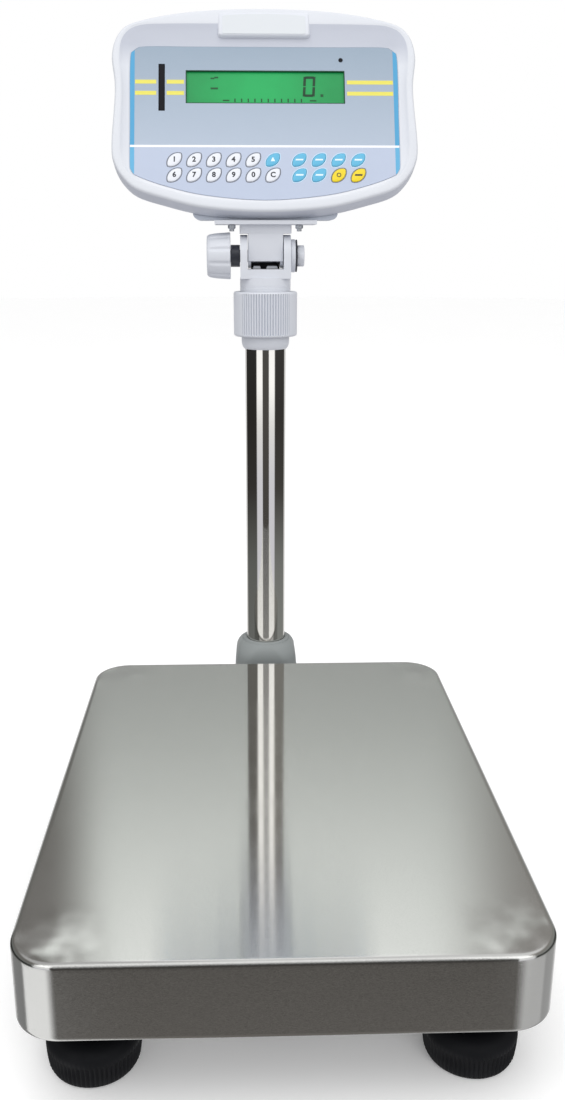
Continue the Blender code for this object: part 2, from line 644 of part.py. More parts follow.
def tilt_clamp(swivel):
    """The bolt across the yoke, its washers and nut, and the knob with its dark sleeve."""
    arm_face = YOKE_HALF_WIDTH
    bore = BOLT_HOLE
    bolt = (
        (0.0, BOLT_START_X), (BOLT_RADIUS, BOLT_START_X), (BOLT_RADIUS, BOLT_END_X), (0.0, BOLT_END_X),
    )
    turned("tilt_bolt", bolt, ZINC, swivel, steps=24, axis="X")
    sleeve_start, sleeve_end = KNOB_INNER_X + GAP, -arm_face - GAP
    sleeve = (
        (SLEEVE_RADIUS, sleeve_start), (SLEEVE_RADIUS, sleeve_end),
        (bore, sleeve_end), (bore, sleeve_start),
    )
    turned("knob_sleeve", sleeve, DARK_WINDOW, swivel, steps=32, axis="X", closed=True)
    washer_start, washer_end = arm_face + GAP, arm_face + 0.0040
    friction = (
        (WASHER_RADIUS, washer_start), (WASHER_RADIUS, washer_end),
        (bore, washer_end), (bore, washer_start),
    )
    turned("friction_washer", friction, NECK_GREY, swivel, steps=32, axis="X", closed=True)
    teeth_start, teeth_end = washer_end + 0.0004, 0.0266
    toothed_radius = WASHER_RADIUS - 0.0002
    toothed = (
        (toothed_radius, teeth_start), (toothed_radius, teeth_end),
        (bore, teeth_end), (bore, teeth_start),
    )
    turned("toothed_washer", toothed, ZINC, swivel, steps=32, axis="X", closed=True)
    nut_start, nut_end = teeth_end + GAP, 0.0327
    thread_end = BOLT_END_X + 0.0004
    nut = (
        (0.0, thread_end), (bore, thread_end), (bore, nut_start), (SLEEVE_RADIUS, nut_start),
        (SLEEVE_RADIUS, nut_end - 0.0008), (SLEEVE_RADIUS - 0.0008, nut_end), (0.0, nut_end),
    )
    turned("tilt_nut", nut, NECK_GREY, swivel, steps=32, axis="X")
    insert_start = BOLT_START_X - 0.0006
    knob = (
        (0.0, KNOB_OUTER_X), (KNOB_RADIUS - 0.0045, KNOB_OUTER_X),
        (KNOB_RADIUS - 0.0018, KNOB_OUTER_X + 0.0022), (KNOB_RADIUS - 0.0008, KNOB_OUTER_X + 0.0060),
        (KNOB_RADIUS, KNOB_INNER_X), (bore, KNOB_INNER_X), (bore, insert_start), (0.0, insert_start),
    )
    turned("tilt_knob", knob, NECK_GREY, swivel, steps=40, axis="X")


def case_foot():
    """Solid of the flat block under the case; its underside is level when the head is at rest."""
    slope, underside, top, half_width, chamfer = math.tan(TILT), 0.0313, 0.090, 0.0590, 0.006
    rings = []
    for depth, taper in ((-0.0190, 0.0), (0.0100, 0.0), (0.0280, 0.004), (0.0330, 0.010)):
        low = underside + slope * depth + taper / 2
        high = top - taper
        half = half_width - taper
        rings.append([
            (-half, depth, low + chamfer), (-half + chamfer, depth, low),
            (half - chamfer, depth, low), (half, depth, low + chamfer),
            (half, depth, high), (-half, depth, high),
        ])
    return loft(rings)


def rear_case(head):
    """A tapered shell with a foot block, hollow and open towards the front case."""
    start = CASE_SPLIT_Y + GAP
    end = CASE_BACK_Y - start
    levels = (
        (0.0, 0.0012), (0.008, 0.0046), (0.020, 0.0098), (0.032, 0.0152), (0.042, 0.0220),
        (end, 0.0320),
    )
    outer = [head_ring(even_ring(inset(WALL, step)), start + depth) for depth, step in levels]
    case = add_part("rear_case", loft(outer), CASE_GREY, head)
    join(case, case_foot())
    inner = [head_ring(even_ring(inset(WALL, levels[0][1] + CASE_WALL)), start - 0.005)]
    for depth, step in levels[1:]:
        inner.append(head_ring(even_ring(inset(WALL, step + CASE_WALL)), start + depth - CASE_WALL))
    cut(case, loft(inner))
    cut(case, box((-0.052, start + 0.003, 0.0400), (0.052, 0.0240, 0.086)))
    x, z = JACK_PLACE
    cut(case, cylinder(JACK_RADIUS + 0.0004, 0.0, 0.06, "Y", 20, (x, 0, z)))
    left, bottom, right, top = SERIAL_PORT
    cut(case, box((left - GAP, 0.0, bottom - GAP), (right + GAP, 0.06, top + GAP)))


def front_case(head):
    """The bezel: side wall, raised crest, recess for the panel, and openings through its floor."""
    def crest(point):
        low, high = 0.025, 0.090
        share = min(1.0, max(0.0, (point.y - low) / (high - low)))
        return CREST_BOTTOM + (CREST_TOP - CREST_BOTTOM) * share

    rings = [head_ring(even_ring(inset(WALL, 0.0006)), CASE_SPLIT_Y)]
    for step, drop in ((0.0, 0.0080), (0.0, 0.0042), (0.0008, 0.0014), (0.0026, 0.0)):
        ring = even_ring(inset(WALL, step))
        rings.append([(p.x, drop - crest(p), p.y) for p in ring])
    rings.append([(p.x, 0.0002 - crest(p), p.y) for p in even_ring(RECESS)])
    rings.append(head_ring(even_ring(inset(PANEL, -0.0004)), FACE_Y))
    case = add_part("front_case", loft(rings), CASE_WHITE, head)
    inner = [head_ring(even_ring(inset(WALL, CASE_WALL + 0.0006)), CASE_SPLIT_Y + 0.005)]
    inner.append(head_ring(even_ring(inset(WALL, CASE_WALL + 0.0012)), FACE_Y + CASE_WALL))
    cut(case, loft(inner))
    ease = 0.0008
    for left, bottom, right, top in (DISPLAY, LIGHT_BAR, KEY_FIELD):
        low = (left - ease, FACE_Y - REACH, bottom - ease)
        cut(case, box(low, (right + ease, FACE_Y + CASE_WALL + GAP, top + ease)))


def name_plate(head):
    """The blank tab on the brow: level with the crest on top, following the slope underneath."""
    slope_top, slope_bottom, tab_top, width = 0.1852, 0.1740, 0.1955, 0.0765
    front, back_top, back_low = -0.0389, -0.0384, -0.0360
    outline = (
        (front, tab_top), (front, slope_bottom), (back_low, slope_bottom),
        (back_top, slope_top), (back_top, tab_top),
    )
    mesh = extruded([outline], width)
    mesh.transform(SIDEWAYS)
    add_part("name_plate", mesh, CASE_WHITE, head)


def key_places():
    """The centre of every key on the face, row by row, from the left."""
    starts = []
    for start, count in (KEY_LEFT_GROUP, KEY_RIGHT_GROUP):
        starts += [start + KEY_PITCH * number for number in range(count)]
    for names, height in zip(KEY_NAMES, KEY_ROWS):
        for name, across in zip(names, starts):
            yield name, across, height


def key_outline(grow=0.0, sides=14):
    points = []
    for step in range(sides):
        angle = 2 * math.pi * step / sides
        along = (KEY_LONG_RADIUS + grow) * math.cos(angle)
        aside = (KEY_SHORT_RADIUS + grow) * math.sin(angle)
        x = along * math.cos(KEY_SLANT) - aside * math.sin(KEY_SLANT)
        points.append(Vector((x, along * math.sin(KEY_SLANT) + aside * math.cos(KEY_SLANT))))
    return points


def overlay_panel(head):
    """The thin printed panel, with openings for the windows and for every key."""
    outlines = [even_ring(PANEL)]
    for left, bottom, right, top in (DISPLAY, LIGHT_BAR):
        x0, x1, z0, z1 = left - GAP, right + GAP, bottom - GAP, top + GAP
        outlines.append([(x0, z0), (x1, z0), (x1, z1), (x0, z1)])
    for _, across, height in key_places():
        centre = Vector((across, height))
        outlines.append([centre + point for point in key_outline(GAP)])
    mesh = extruded(outlines, OVERLAY_THICKNESS)
    mesh.transform(UPRIGHT)
    middle = FACE_Y - OVERLAY_THICKNESS / 2 - 0.0002
    add_part("overlay_panel", mesh, PANEL_BLUE, head, (0.0, middle, 0.0))


def keys(head):
    """Twenty domed keys that sit in the overlay's openings, each with its origin at its centre."""
    back, front = FACE_Y + 0.0014, FACE_Y - 0.0014
    shape = (
        head_ring(key_outline(), back), head_ring(key_outline(), front + 0.0005),
        head_ring(key_outline(-0.0010), front),
    )
    shared = loft(shape)
    blue = ("import", "low", "high", "percent", "count", "unit", "print")
    for name, across, height in key_places():
        finish = KEY_BLUE if name in blue else KEY_YELLOW if name in ("zero", "tare") else KEY_WHITE
        add_part("key_" + name, shared.copy(), finish, head, (across, 0.0, height))


def windows(head):
    back, front = FACE_Y + 0.0022, FACE_Y - 0.0006
    for name, area, finish in (
        ("display_window", DISPLAY, DISPLAY_GREEN), ("light_bar_window", LIGHT_BAR, DARK_WINDOW),
    ):
        left, bottom, right, top = area
        pane = box((left, front, bottom), (right, back, top), 0.0003, segments=1)
        add_part(name, pane, finish, head)


def electronics(head):
    left, bottom, right, top = DISPLAY
    border = 0.006
    module_low = (left - border, FACE_Y + CASE_WALL + GAP, bottom - border)
    module_high = (right + border, CASE_SPLIT_Y - 0.0005, top + border)
    add_part("display_module", box(module_low, module_high), DARK_WINDOW, head)
    board_low = CASE_SPLIT_Y + 0.0015
    board = box((-0.085, board_low, 0.048), (0.085, board_low + BOARD_THICKNESS, 0.165))
    add_part("main_board", board, BOARD_GREEN, head)
    battery = box((-0.049, -0.0140, 0.0905), (0.049, 0.0190, 0.1565), 0.0015, segments=1)
    add_part("battery", battery, BATTERY_GREY, head)


def connectors(head):
    """The power jack and the serial port that stand in the back of the rear case."""
    start, end = CONNECTOR_START_Y, CONNECTOR_END_Y
    bore_floor = end - 0.010
    jack = (
        (0.0, start), (JACK_RADIUS, start), (JACK_RADIUS, end), (JACK_BORE, end),
        (JACK_BORE, bore_floor), (0.0, bore_floor),
    )
    x, z = JACK_PLACE
    inlet = turned("power_inlet", jack, DARK_WINDOW, head, (x, 0.0, z), steps=20, axis="X")
    inlet.rotation_euler = (0.0, 0.0, math.pi / 2)
    left, bottom, right, top = SERIAL_PORT
    port = box((left, start, bottom), (right, end, top), 0.002, segments=1)
    add_part("serial_port", port, ZINC, head)


def head_bracket(swivel):
    """Flange, neck and forked tongue that hang under the head and straddle the tilt bolt."""
    bottom, top = FLANGE_BOTTOM, FLANGE_TOP
    flange = box((-0.042, -0.018, bottom), (0.042, 0.022, top), 0.004, only_upright=True)
    bracket = add_part("head_bracket", flange, NECK_GREY, swivel)
    neck = box((-0.0215, -0.0120, 0.0180), (0.0215, 0.0130, bottom + 0.001), 0.002, only_upright=True)
    join(bracket, neck)
    half_depth, radius = 0.0110, 0.0102
    outline = [(half_depth, 0.0185), (-half_depth, 0.0185)]
    for step in range(13):
        angle = math.pi + math.pi * step / 12
        outline.append((half_depth * math.cos(angle), radius * math.sin(angle)))
    tongue = extruded([outline], 2 * (YOKE_ARM_INNER - 0.0005))
    tongue.transform(SIDEWAYS)
    join(bracket, tongue)
    cut(bracket, box((-0.0122, -0.020, -0.020), (0.0122, 0.0082, -0.0046)))
    cut(bracket, cylinder(BOLT_HOLE, -0.03, 0.03, "X", 24))
    for side in (-1, 1):
        centre = (side * SCREW_X, SCREW_Y, 0.0)
        cut(bracket, cylinder(SCREW_HOLE, bottom - REACH, top + REACH, sides=16, centre=centre))


def bracket_screws(swivel):
    """Two screws through the flange, heads down, each with the tip of its driver boss below it."""
    top, seat = FLANGE_TOP - GAP, FLANGE_BOTTOM - GAP
    shank, head = 0.0020, 0.0032
    profile = (
        (0.0, top), (shank, top), (shank, seat), (head, seat),
        (head, seat - 0.0027), (shank, seat - 0.0033), (shank, seat - 0.0052), (0.0, seat - 0.0052),
    )
    for side, name in ((-1, "bracket_screw_left"), (1, "bracket_screw_right")):
        turned(name, profile, ZINC, swivel, (side * SCREW_X, SCREW_Y, 0.0), steps=16)


def platform():
    base_frame()
    feet()
    load_cell()
    cell_spacer()
    pan_support()
    pan_buffers()
    weighing_pan()
    spirit_level()


def column():
    column_bracket()
    column_boot()
    column_tube()
    column_ferrule()
    lock_ring()


def indicator():
    swivel = empty("swivel_axis", (0.0, COLUMN_Y, PIVOT_Z))
    head = empty("tilt_axis", (0.0, 0.0, 0.0), swivel)
    head.rotation_euler = (-TILT, 0.0, 0.0)
    swivel_yoke(swivel)
    tilt_clamp(swivel)
    head_bracket(swivel)
    bracket_screws(swivel)
    rear_case(head)
    front_case(head)
    name_plate(head)
    overlay_panel(head)
    windows(head)
    keys(head)
    electronics(head)
    connectors(head)


platform()
column()
indicator()
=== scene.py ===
"""Looks of the bench scale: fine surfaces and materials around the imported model.

Head pieces are built in the head's own frame: X to the right, Y into the case and Z up the face, with
the origin on the tilt axis. Swivel pieces have the same origin and stay upright.
"""

import json
import math

import bmesh
import bpy
from mathutils import Matrix, Vector


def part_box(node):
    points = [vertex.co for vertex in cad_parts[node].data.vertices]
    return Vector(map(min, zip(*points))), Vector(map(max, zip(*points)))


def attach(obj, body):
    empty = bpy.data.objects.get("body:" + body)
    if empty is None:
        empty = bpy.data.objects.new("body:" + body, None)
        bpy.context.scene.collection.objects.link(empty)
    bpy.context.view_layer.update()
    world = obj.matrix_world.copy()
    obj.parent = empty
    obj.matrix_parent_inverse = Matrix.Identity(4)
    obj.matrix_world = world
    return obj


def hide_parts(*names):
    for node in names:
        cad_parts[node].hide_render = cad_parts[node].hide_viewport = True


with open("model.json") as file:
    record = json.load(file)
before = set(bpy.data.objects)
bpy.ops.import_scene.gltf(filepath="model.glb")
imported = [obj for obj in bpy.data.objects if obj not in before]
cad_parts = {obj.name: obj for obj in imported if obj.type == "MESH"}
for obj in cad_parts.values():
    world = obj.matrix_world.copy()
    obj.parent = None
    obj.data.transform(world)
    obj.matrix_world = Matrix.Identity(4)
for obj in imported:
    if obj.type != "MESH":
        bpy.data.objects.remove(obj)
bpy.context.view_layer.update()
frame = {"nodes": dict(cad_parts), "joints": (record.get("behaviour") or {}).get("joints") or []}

# ---------------------------------------------------------------- places taken from the frame

JOINTS = {joint["name"]: joint for joint in frame["joints"]}
PAN_LOW, PAN_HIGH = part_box("weighing_pan")
PAN_CENTRE, PAN_HALF = (PAN_HIGH + PAN_LOW) / 2, (PAN_HIGH - PAN_LOW) / 2
PIVOT = Vector(JOINTS["head_tilt"]["pos_m"])
COLUMN = Vector((PIVOT.x, PIVOT.y, 0.0))
TILT = math.radians(24)
AT_REST = Matrix.Identity(4)
ON_COLUMN = Matrix.Translation(COLUMN)
AT_PIVOT = Matrix.Translation(PIVOT)
ON_AXIS = Matrix.Translation((0.0, PIVOT.y, PIVOT.z))
IN_HEAD = AT_PIVOT @ Matrix.Rotation(-TILT, 4, "X")
UPRIGHT = Matrix.Rotation(math.pi / 2, 4, "X")
TO_X = Matrix.Rotation(math.pi / 2, 4, "Y")

FACE_Y = -0.0340
PANEL_FRONT = FACE_Y - 0.0007
CASE_SPLIT_Y = -0.0200
RING_CENTRE = Vector((0.0, 0.105))
FINE = 200
TONGUE_HALF = 0.0146
TONGUE_SHRINK = 0.96
YOKE_FLOOR_Z = 0.4406
SPIGOT_Z = (0.4227, 0.4328)

DISPLAY = (-0.0647, 0.1169, 0.0663, 0.1455)
LIGHT_BAR = (-0.0871, 0.1102, -0.0824, 0.1510)
KEY_ROWS = (0.0672, 0.0540)
KEY_PITCH = 0.0161
KEY_STARTS = ((-0.0743, 6), (0.0279, 4))
KEY_LONG, KEY_SHORT, KEY_SLANT, KEY_POINT = 0.0074, 0.0044, math.radians(45), 1.35
PRINT_THICKNESS = 0.00006
KEY_NAMES = (
    ("1", "2", "3", "4", "5", "import", "low", "high", "percent", "count"),
    ("6", "7", "8", "9", "0", "clear", "unit", "print", "zero", "tare"),
)

WALL_HALF = (
    (0.0000, 0.0226), (0.0500, 0.0258), (0.0865, 0.0348), (0.1060, 0.0418), (0.1170, 0.0520),
    (0.1235, 0.0640), (0.1255, 0.0800), (0.1230, 0.1280), (0.1257, 0.1580), (0.1200, 0.1775),
    (0.1050, 0.1878), (0.0600, 0.1968), (0.0000, 0.1998),
)
RECESS_HALF = (
    (0.0000, 0.0305), (0.0500, 0.0338), (0.0860, 0.0425), (0.1050, 0.0505), (0.1150, 0.0610),
    (0.1185, 0.0780), (0.1175, 0.1280), (0.1195, 0.1560), (0.1165, 0.1735), (0.1050, 0.1830),
    (0.0800, 0.1852), (0.0000, 0.1855),
)
PANEL_HALF = (
    (0.0000, 0.0328), (0.0490, 0.0369), (0.0820, 0.0449), (0.1045, 0.0533), (0.1095, 0.0580),
    (0.1107, 0.0650), (0.1107, 0.1000), (0.1107, 0.1540), (0.1075, 0.1632), (0.0990, 0.1666),
    (0.0600, 0.1666), (0.0000, 0.1666),
)


# ---------------------------------------------------------------- materials

def srgb(red, green, blue):
    """A colour given as 0 to 255, in linear light."""
    return tuple(
        (value / 255 / 12.92) if value < 10.3 else ((value / 255 + 0.055) / 1.055) ** 2.4
        for value in (red, green, blue)
    )


class Nodes:
    """A node tree with short ways to add and link nodes."""

    def __init__(self, tree):
        self.tree = tree

    def add(self, kind, **settings):
        node = self.tree.nodes.new(kind)
        for key, value in settings.items():
            setattr(node, key, value)
        return node

    def link(self, source, target):
        self.tree.links.new(source, target)

    def feed(self, sockets, values):
        """Gives each socket its value: a number, a tuple or another node's output."""
        for socket, value in zip(sockets, values):
            if isinstance(value, (int, float, tuple)):
                socket.default_value = value
            elif value is not None:
                self.link(value, socket)

    def split(self, vector):
        node = self.add("ShaderNodeSeparateXYZ")
        self.link(vector, node.inputs["Vector"])
        return node.outputs

    def scaled(self, vector, scale):
        node = self.add("ShaderNodeMapping")
        node.inputs["Scale"].default_value = scale
        self.link(vector, node.inputs["Vector"])
        return node.outputs["Vector"]

    def noise(self, vector, scale, detail=2.0):
        node = self.add("ShaderNodeTexNoise")
        node.inputs["Scale"].default_value = scale
        node.inputs["Detail"].default_value = detail
        self.link(vector, node.inputs["Vector"])
        return node.outputs["Fac"]

    def ramped(self, value, low, high, start=0.3, end=0.7, kind="LINEAR"):
        node = self.add("ShaderNodeMapRange", interpolation_type=kind)
        keys = ("From Min", "From Max", "To Min", "To Max", "Value")
        self.feed([node.inputs[key] for key in keys], (start, end, low, high, value))
        return node.outputs["Result"]

    def mixed(self, factor, first, second):
        node = self.add("ShaderNodeMix", data_type="RGBA")
        colours = [(*colour, 1.0) if isinstance(colour, tuple) else colour for colour in (first, second)]
        self.feed((node.inputs["Factor"], node.inputs[6], node.inputs[7]), (factor, *colours))
        return node.outputs[2]

    def math(self, operation, first, second=None):
        node = self.add("ShaderNodeMath", operation=operation)
        self.feed(node.inputs, (first, second))
        return node.outputs["Value"]

    def vector(self, operation, first, second=None):
        node = self.add("ShaderNodeVectorMath", operation=operation)
        self.feed(node.inputs, (first, second))
        return node.outputs["Vector"]

    def stretched(self, vector, factor):
        node = self.add("ShaderNodeVectorMath", operation="SCALE")
        self.feed((node.inputs["Vector"], node.inputs["Scale"]), (vector, factor))
        return node.outputs["Vector"]


class Surface(Nodes):
    """A material's node tree."""

    def __init__(self, name):
        self.material = bpy.data.materials.new(name)
        self.material.use_nodes = True
        super().__init__(self.material.node_tree)
        self.shader = self.tree.nodes["Principled BSDF"]

    def object_coordinates(self):
        return self.add("ShaderNodeTexCoord").outputs["Object"]

    def head_coordinates(self):
        """The head's own frame at rest, whose Z runs up the face."""
        node = self.add("ShaderNodeMapping")
        back = IN_HEAD.inverted()
        places = [node.inputs[key] for key in ("Location", "Rotation", "Vector")]
        self.feed(places, (tuple(back.to_translation()), tuple(back.to_euler()), self.object_coordinates()))
        return node.outputs["Vector"]

    def look(self, **values):
        """Feeds the shader's inputs by name, with _ for each space."""
        self.feed([self.shader.inputs[key.replace("_", " ")] for key in values], values.values())

    def bump(self, height, strength, distance):
        node = self.add("ShaderNodeBump")
        sockets = [node.inputs[key] for key in ("Strength", "Distance", "Height")]
        self.feed(sockets, (strength, distance, height))
        self.look(Normal=node.outputs["Normal"])


def shade(colour, factor):
    return tuple(min(1.0, channel * factor) for channel in colour)


GRAIN_DEPTH = 0.0002
DRIFT_SCALE, PATCH_SCALE = 14.0, 90.0


def moulded(
    name, colour, roughness=0.42, grain=0.10, grain_scale=1500.0, variation=0.05, coat=0.0, specular=0.5
):
    """Moulded plastic: a fine spark-eroded grain, and a slow drift of tone and gloss."""
    nodes = Surface(name)
    place = nodes.object_coordinates()
    drift = nodes.noise(place, DRIFT_SCALE, 3.0)
    tone = nodes.mixed(drift, shade(colour, 1 - variation), shade(colour, 1 + variation))
    gloss = nodes.ramped(nodes.noise(place, PATCH_SCALE), roughness - 0.05, roughness + 0.06)
    nodes.look(Base_Color=tone, Roughness=gloss, Specular_IOR_Level=specular)
    nodes.bump(nodes.noise(place, grain_scale, 1.0), grain, GRAIN_DEPTH)
    if coat:
        nodes.look(Coat_Weight=coat, Coat_Roughness=0.08)
    return nodes.material


def film(name, colour, roughness, variation, coat=0.0):
    """Smooth plastic, printing ink and key film, with hardly any grain."""
    return moulded(name, colour, roughness, 0.05, variation=variation, coat=coat)


# Hairlines in cycles per metre, along and across their length
FINE_LINES, BROAD_LINES = (900.0, 45000.0), (7.0, 620.0)
BROAD_TIP = 0.012
FINE_TONE, BROAD_TONE = 0.8, 0.2
WAVE_SCALE, WAVE_LEAN = 34.0, 0.42
WAVE_START, WAVE_END = 0.055, 0.008


def brushed(name, colour, roughness=0.06, spread=0.62, corners=None, variation=0.02):
    """Brushed steel: hairlines tip the surface across their length, so reflections smear one way.

    The hairlines run along X on the top and round the walls. corners gives the centre and half size of a
    pressed sheet, whose corners are a little wavy.
    """
    nodes = Surface(name)
    place = nodes.object_coordinates()
    normal = nodes.add("ShaderNodeNewGeometry").outputs["Normal"]
    facing = nodes.split(normal)
    on_top = nodes.math("GREATER_THAN", nodes.math("ABSOLUTE", facing["Z"]), 0.7)

    def lines(along, across):
        choose = nodes.add("ShaderNodeMix", data_type="VECTOR")
        on_wall, on_flat = (along, along, across), (along, across, along)
        coordinates = nodes.scaled(place, on_wall), nodes.scaled(place, on_flat)
        nodes.feed((choose.inputs["Factor"], choose.inputs[4], choose.inputs[5]), (on_top, *coordinates))
        return nodes.noise(choose.outputs[1], 1.0, 2.0)

    fine, broad = lines(*FINE_LINES), lines(*BROAD_LINES)
    tip = nodes.math("MULTIPLY", nodes.math("SUBTRACT", fine, 0.5), spread)
    broad_tip = nodes.math("MULTIPLY", nodes.math("SUBTRACT", broad, 0.5), BROAD_TIP * spread)
    tip = nodes.math("ADD", tip, broad_tip)
    upright = nodes.math("SUBTRACT", 1.0, nodes.math("ABSOLUTE", facing["X"]))
    across = nodes.add("ShaderNodeCombineXYZ")
    nodes.feed((across.inputs["Y"], across.inputs["Z"]), (nodes.math("MULTIPLY", tip, upright), tip))
    tipped = nodes.vector("ADD", normal, across.outputs["Vector"])
    if corners:
        centre, half = corners
        local = nodes.split(place)
        weight = on_top
        for axis, middle, reach in (("X", centre.x, half.x), ("Y", centre.y, half.y)):
            off = nodes.math("ABSOLUTE", nodes.math("SUBTRACT", local[axis], middle))
            near = nodes.ramped(off, 0.0, 1.0, reach - WAVE_START, reach - WAVE_END)
            weight = nodes.math("MULTIPLY", weight, near)
        wave = nodes.add("ShaderNodeTexNoise")
        nodes.feed((wave.inputs["Scale"], wave.inputs["Vector"]), (WAVE_SCALE, place))
        lean = nodes.vector("SUBTRACT", wave.outputs["Color"], (0.5, 0.5, 0.5))
        tipped = nodes.vector("ADD", tipped, nodes.stretched(lean, nodes.math("MULTIPLY", weight, WAVE_LEAN)))
    both = nodes.math(
        "ADD", nodes.math("MULTIPLY", fine, FINE_TONE), nodes.math("MULTIPLY", broad, BROAD_TONE)
    )
    share = nodes.ramped(both, 0.0, 1.0)
    tone = nodes.mixed(share, shade(colour, 1 - variation), shade(colour, 1 + variation))
    smear = nodes.ramped(nodes.noise(place, 35.0), roughness * 0.8, roughness * 1.3)
    nodes.look(Normal=nodes.vector("NORMALIZE", tipped), Base_Color=tone, Roughness=smear, Metallic=1.0)
    return nodes.material


def polished(name, colour, roughness, variation=0.03):
    """Plated or turned metal with faint smears in its gloss."""
    nodes = Surface(name)
    smear = nodes.noise(nodes.scaled(nodes.object_coordinates(), (30.0, 30.0, 6.0)), 1.0, 3.0)
    tone = nodes.mixed(smear, shade(colour, 1 - variation), shade(colour, 1 + variation))
    gloss = nodes.ramped(smear, roughness * 0.6, roughness * 1.4)
    nodes.look(Base_Color=tone, Roughness=gloss, Metallic=1.0)
    return nodes.material


def shaded_brow(name):
    """The slope round the panel: the case's plastic with painted shade, greyer towards the top, where the
    slope faces down.
    """
    nodes = Surface(name)
    place = nodes.head_coordinates()
    height = nodes.split(place)["Z"]
    # Painted shade: the top of the brow greyest, the middle a little greyer than the bottom.
    upper = nodes.ramped(height, 0.0, 1.0, 0.150, 0.168)
    middle = nodes.ramped(height, 0.0, 1.0, 0.050, 0.080)
    tone = nodes.mixed(middle, srgb(224, 226, 231), srgb(215, 218, 225))
    tone = nodes.mixed(upper, tone, srgb(191, 195, 206))
    drift = nodes.ramped(nodes.noise(place, DRIFT_SCALE, 3.0), 0.0, 0.06)
    gloss = nodes.ramped(nodes.noise(place, PATCH_SCALE), 0.36, 0.46)
    nodes.look(Base_Color=nodes.mixed(drift, tone, srgb(190, 195, 206)), Roughness=gloss)
    nodes.bump(nodes.noise(place, 1500.0, 1.0), 0.12, GRAIN_DEPTH)
    return nodes.material


def printed_panel(name):
    """The overlay film: blue-grey above the white line, lavender-grey below, and painted shade that darkens
    it towards the top, under the brow.
    """
    nodes = Surface(name)
    place = nodes.head_coordinates()
    height = nodes.split(place)["Z"]
    # Painted shade: the film darker towards the top, under the brow.
    top_shade = nodes.ramped(height, 0.0, 1.0, 0.080, 0.167)
    upper = nodes.mixed(top_shade, srgb(174, 186, 202), srgb(147, 163, 179))
    above_line = nodes.math("GREATER_THAN", height, 0.0790)
    tone = nodes.mixed(above_line, srgb(184, 194, 214), upper)
    speck = nodes.ramped(nodes.noise(place, 40.0), 0.0, 0.06)
    gloss = nodes.ramped(nodes.noise(place, 120.0), 0.36, 0.46)
    nodes.look(Base_Color=nodes.mixed(speck, tone, srgb(160, 170, 185)), Roughness=gloss)
    nodes.bump(nodes.noise(place, 1800.0, 1.0), 0.06, GRAIN_DEPTH / 2)
    return nodes.material


def backlit(name):
    """The display's lit ground: brightest left of the middle and falling off to both ends."""
    nodes = Surface(name)
    place = nodes.object_coordinates()
    off_centre = nodes.math("ABSOLUTE", nodes.math("ADD", nodes.split(place)["X"], 0.004))
    fall = nodes.ramped(off_centre, 0.0, 1.0, 0.010, 0.062)
    uneven = nodes.math("ADD", fall, nodes.ramped(nodes.noise(place, 60.0), -0.12, 0.12))
    tone = nodes.mixed(uneven, srgb(16, 150, 78), srgb(14, 128, 66))
    nodes.look(Base_Color=tone, Emission_Color=tone, Emission_Strength=0.28, Roughness=0.35)
    return nodes.material


STEEL = brushed("brushed_stainless", srgb(207, 207, 205), corners=(PAN_CENTRE, PAN_HALF))
CHROME = polished("tube_chrome", srgb(232, 230, 226), 0.05)
ZINC = polished("zinc_plate", srgb(186, 190, 196), 0.30, 0.08)
DULL_ZINC = polished("dull_zinc", srgb(216, 219, 224), 0.55, 0.04)
ALUMINIUM = brushed("milled_aluminium", srgb(205, 208, 211), 0.22)
FRAME_PAINT = moulded("black_powder_coat", srgb(46, 47, 50), 0.5, 0.35, 700.0, 0.12)
RUBBER = moulded("black_rubber_skin", srgb(20, 21, 24), 0.62, 0.25, 1100.0, 0.15, specular=0.15)
BOOT = moulded("boot_grey_skin", srgb(138, 143, 143), 0.46, 0.15, 1300.0)
NECK = moulded("neck_grey_skin", srgb(216, 219, 226), 0.44, 0.16, 1300.0, 0.03)
# A darker copy of the neck grey: painted shade in the collar's grooves.
NECK_GROOVE_SHADE = moulded("neck_groove_painted_shade", srgb(205, 209, 218), 0.5, 0.10, 1300.0, 0.03)
CASE_WHITE = moulded("case_white_skin", srgb(215, 218, 224), 0.40, 0.12, variation=0.02)
# A greyer copy of the case white: painted shade on the bezel's outer wall.
CASE_WALL_SHADE = moulded("case_wall_painted_shade", srgb(206, 210, 219), 0.42, 0.12, variation=0.02)
CASE_GREY = moulded("case_grey_skin", srgb(196, 202, 213), 0.44, 0.14, 1400.0, 0.03)
TAB_PLATE = moulded("tab_plate_skin", srgb(212, 216, 220), 0.34, 0.08, variation=0.02)
BROW_SHADE = shaded_brow("case_brow_painted_shade")
BLACK_SMOOTH = moulded("black_smooth_skin", srgb(13, 13, 20), 0.35, 0.03, variation=0.1, specular=0.2)
SLEEVE_DARK = film("sleeve_dark_skin", srgb(58, 60, 68), 0.30, 0.1)
BOARD = moulded("solder_mask", srgb(28, 104, 60), 0.42, 0.10, 900.0, 0.1)
CELL_WRAP = moulded("battery_wrap", srgb(60, 62, 66), 0.5, 0.1, 900.0, 0.1)
PANEL = printed_panel("overlay_film")
GREEN = backlit("display_ground")
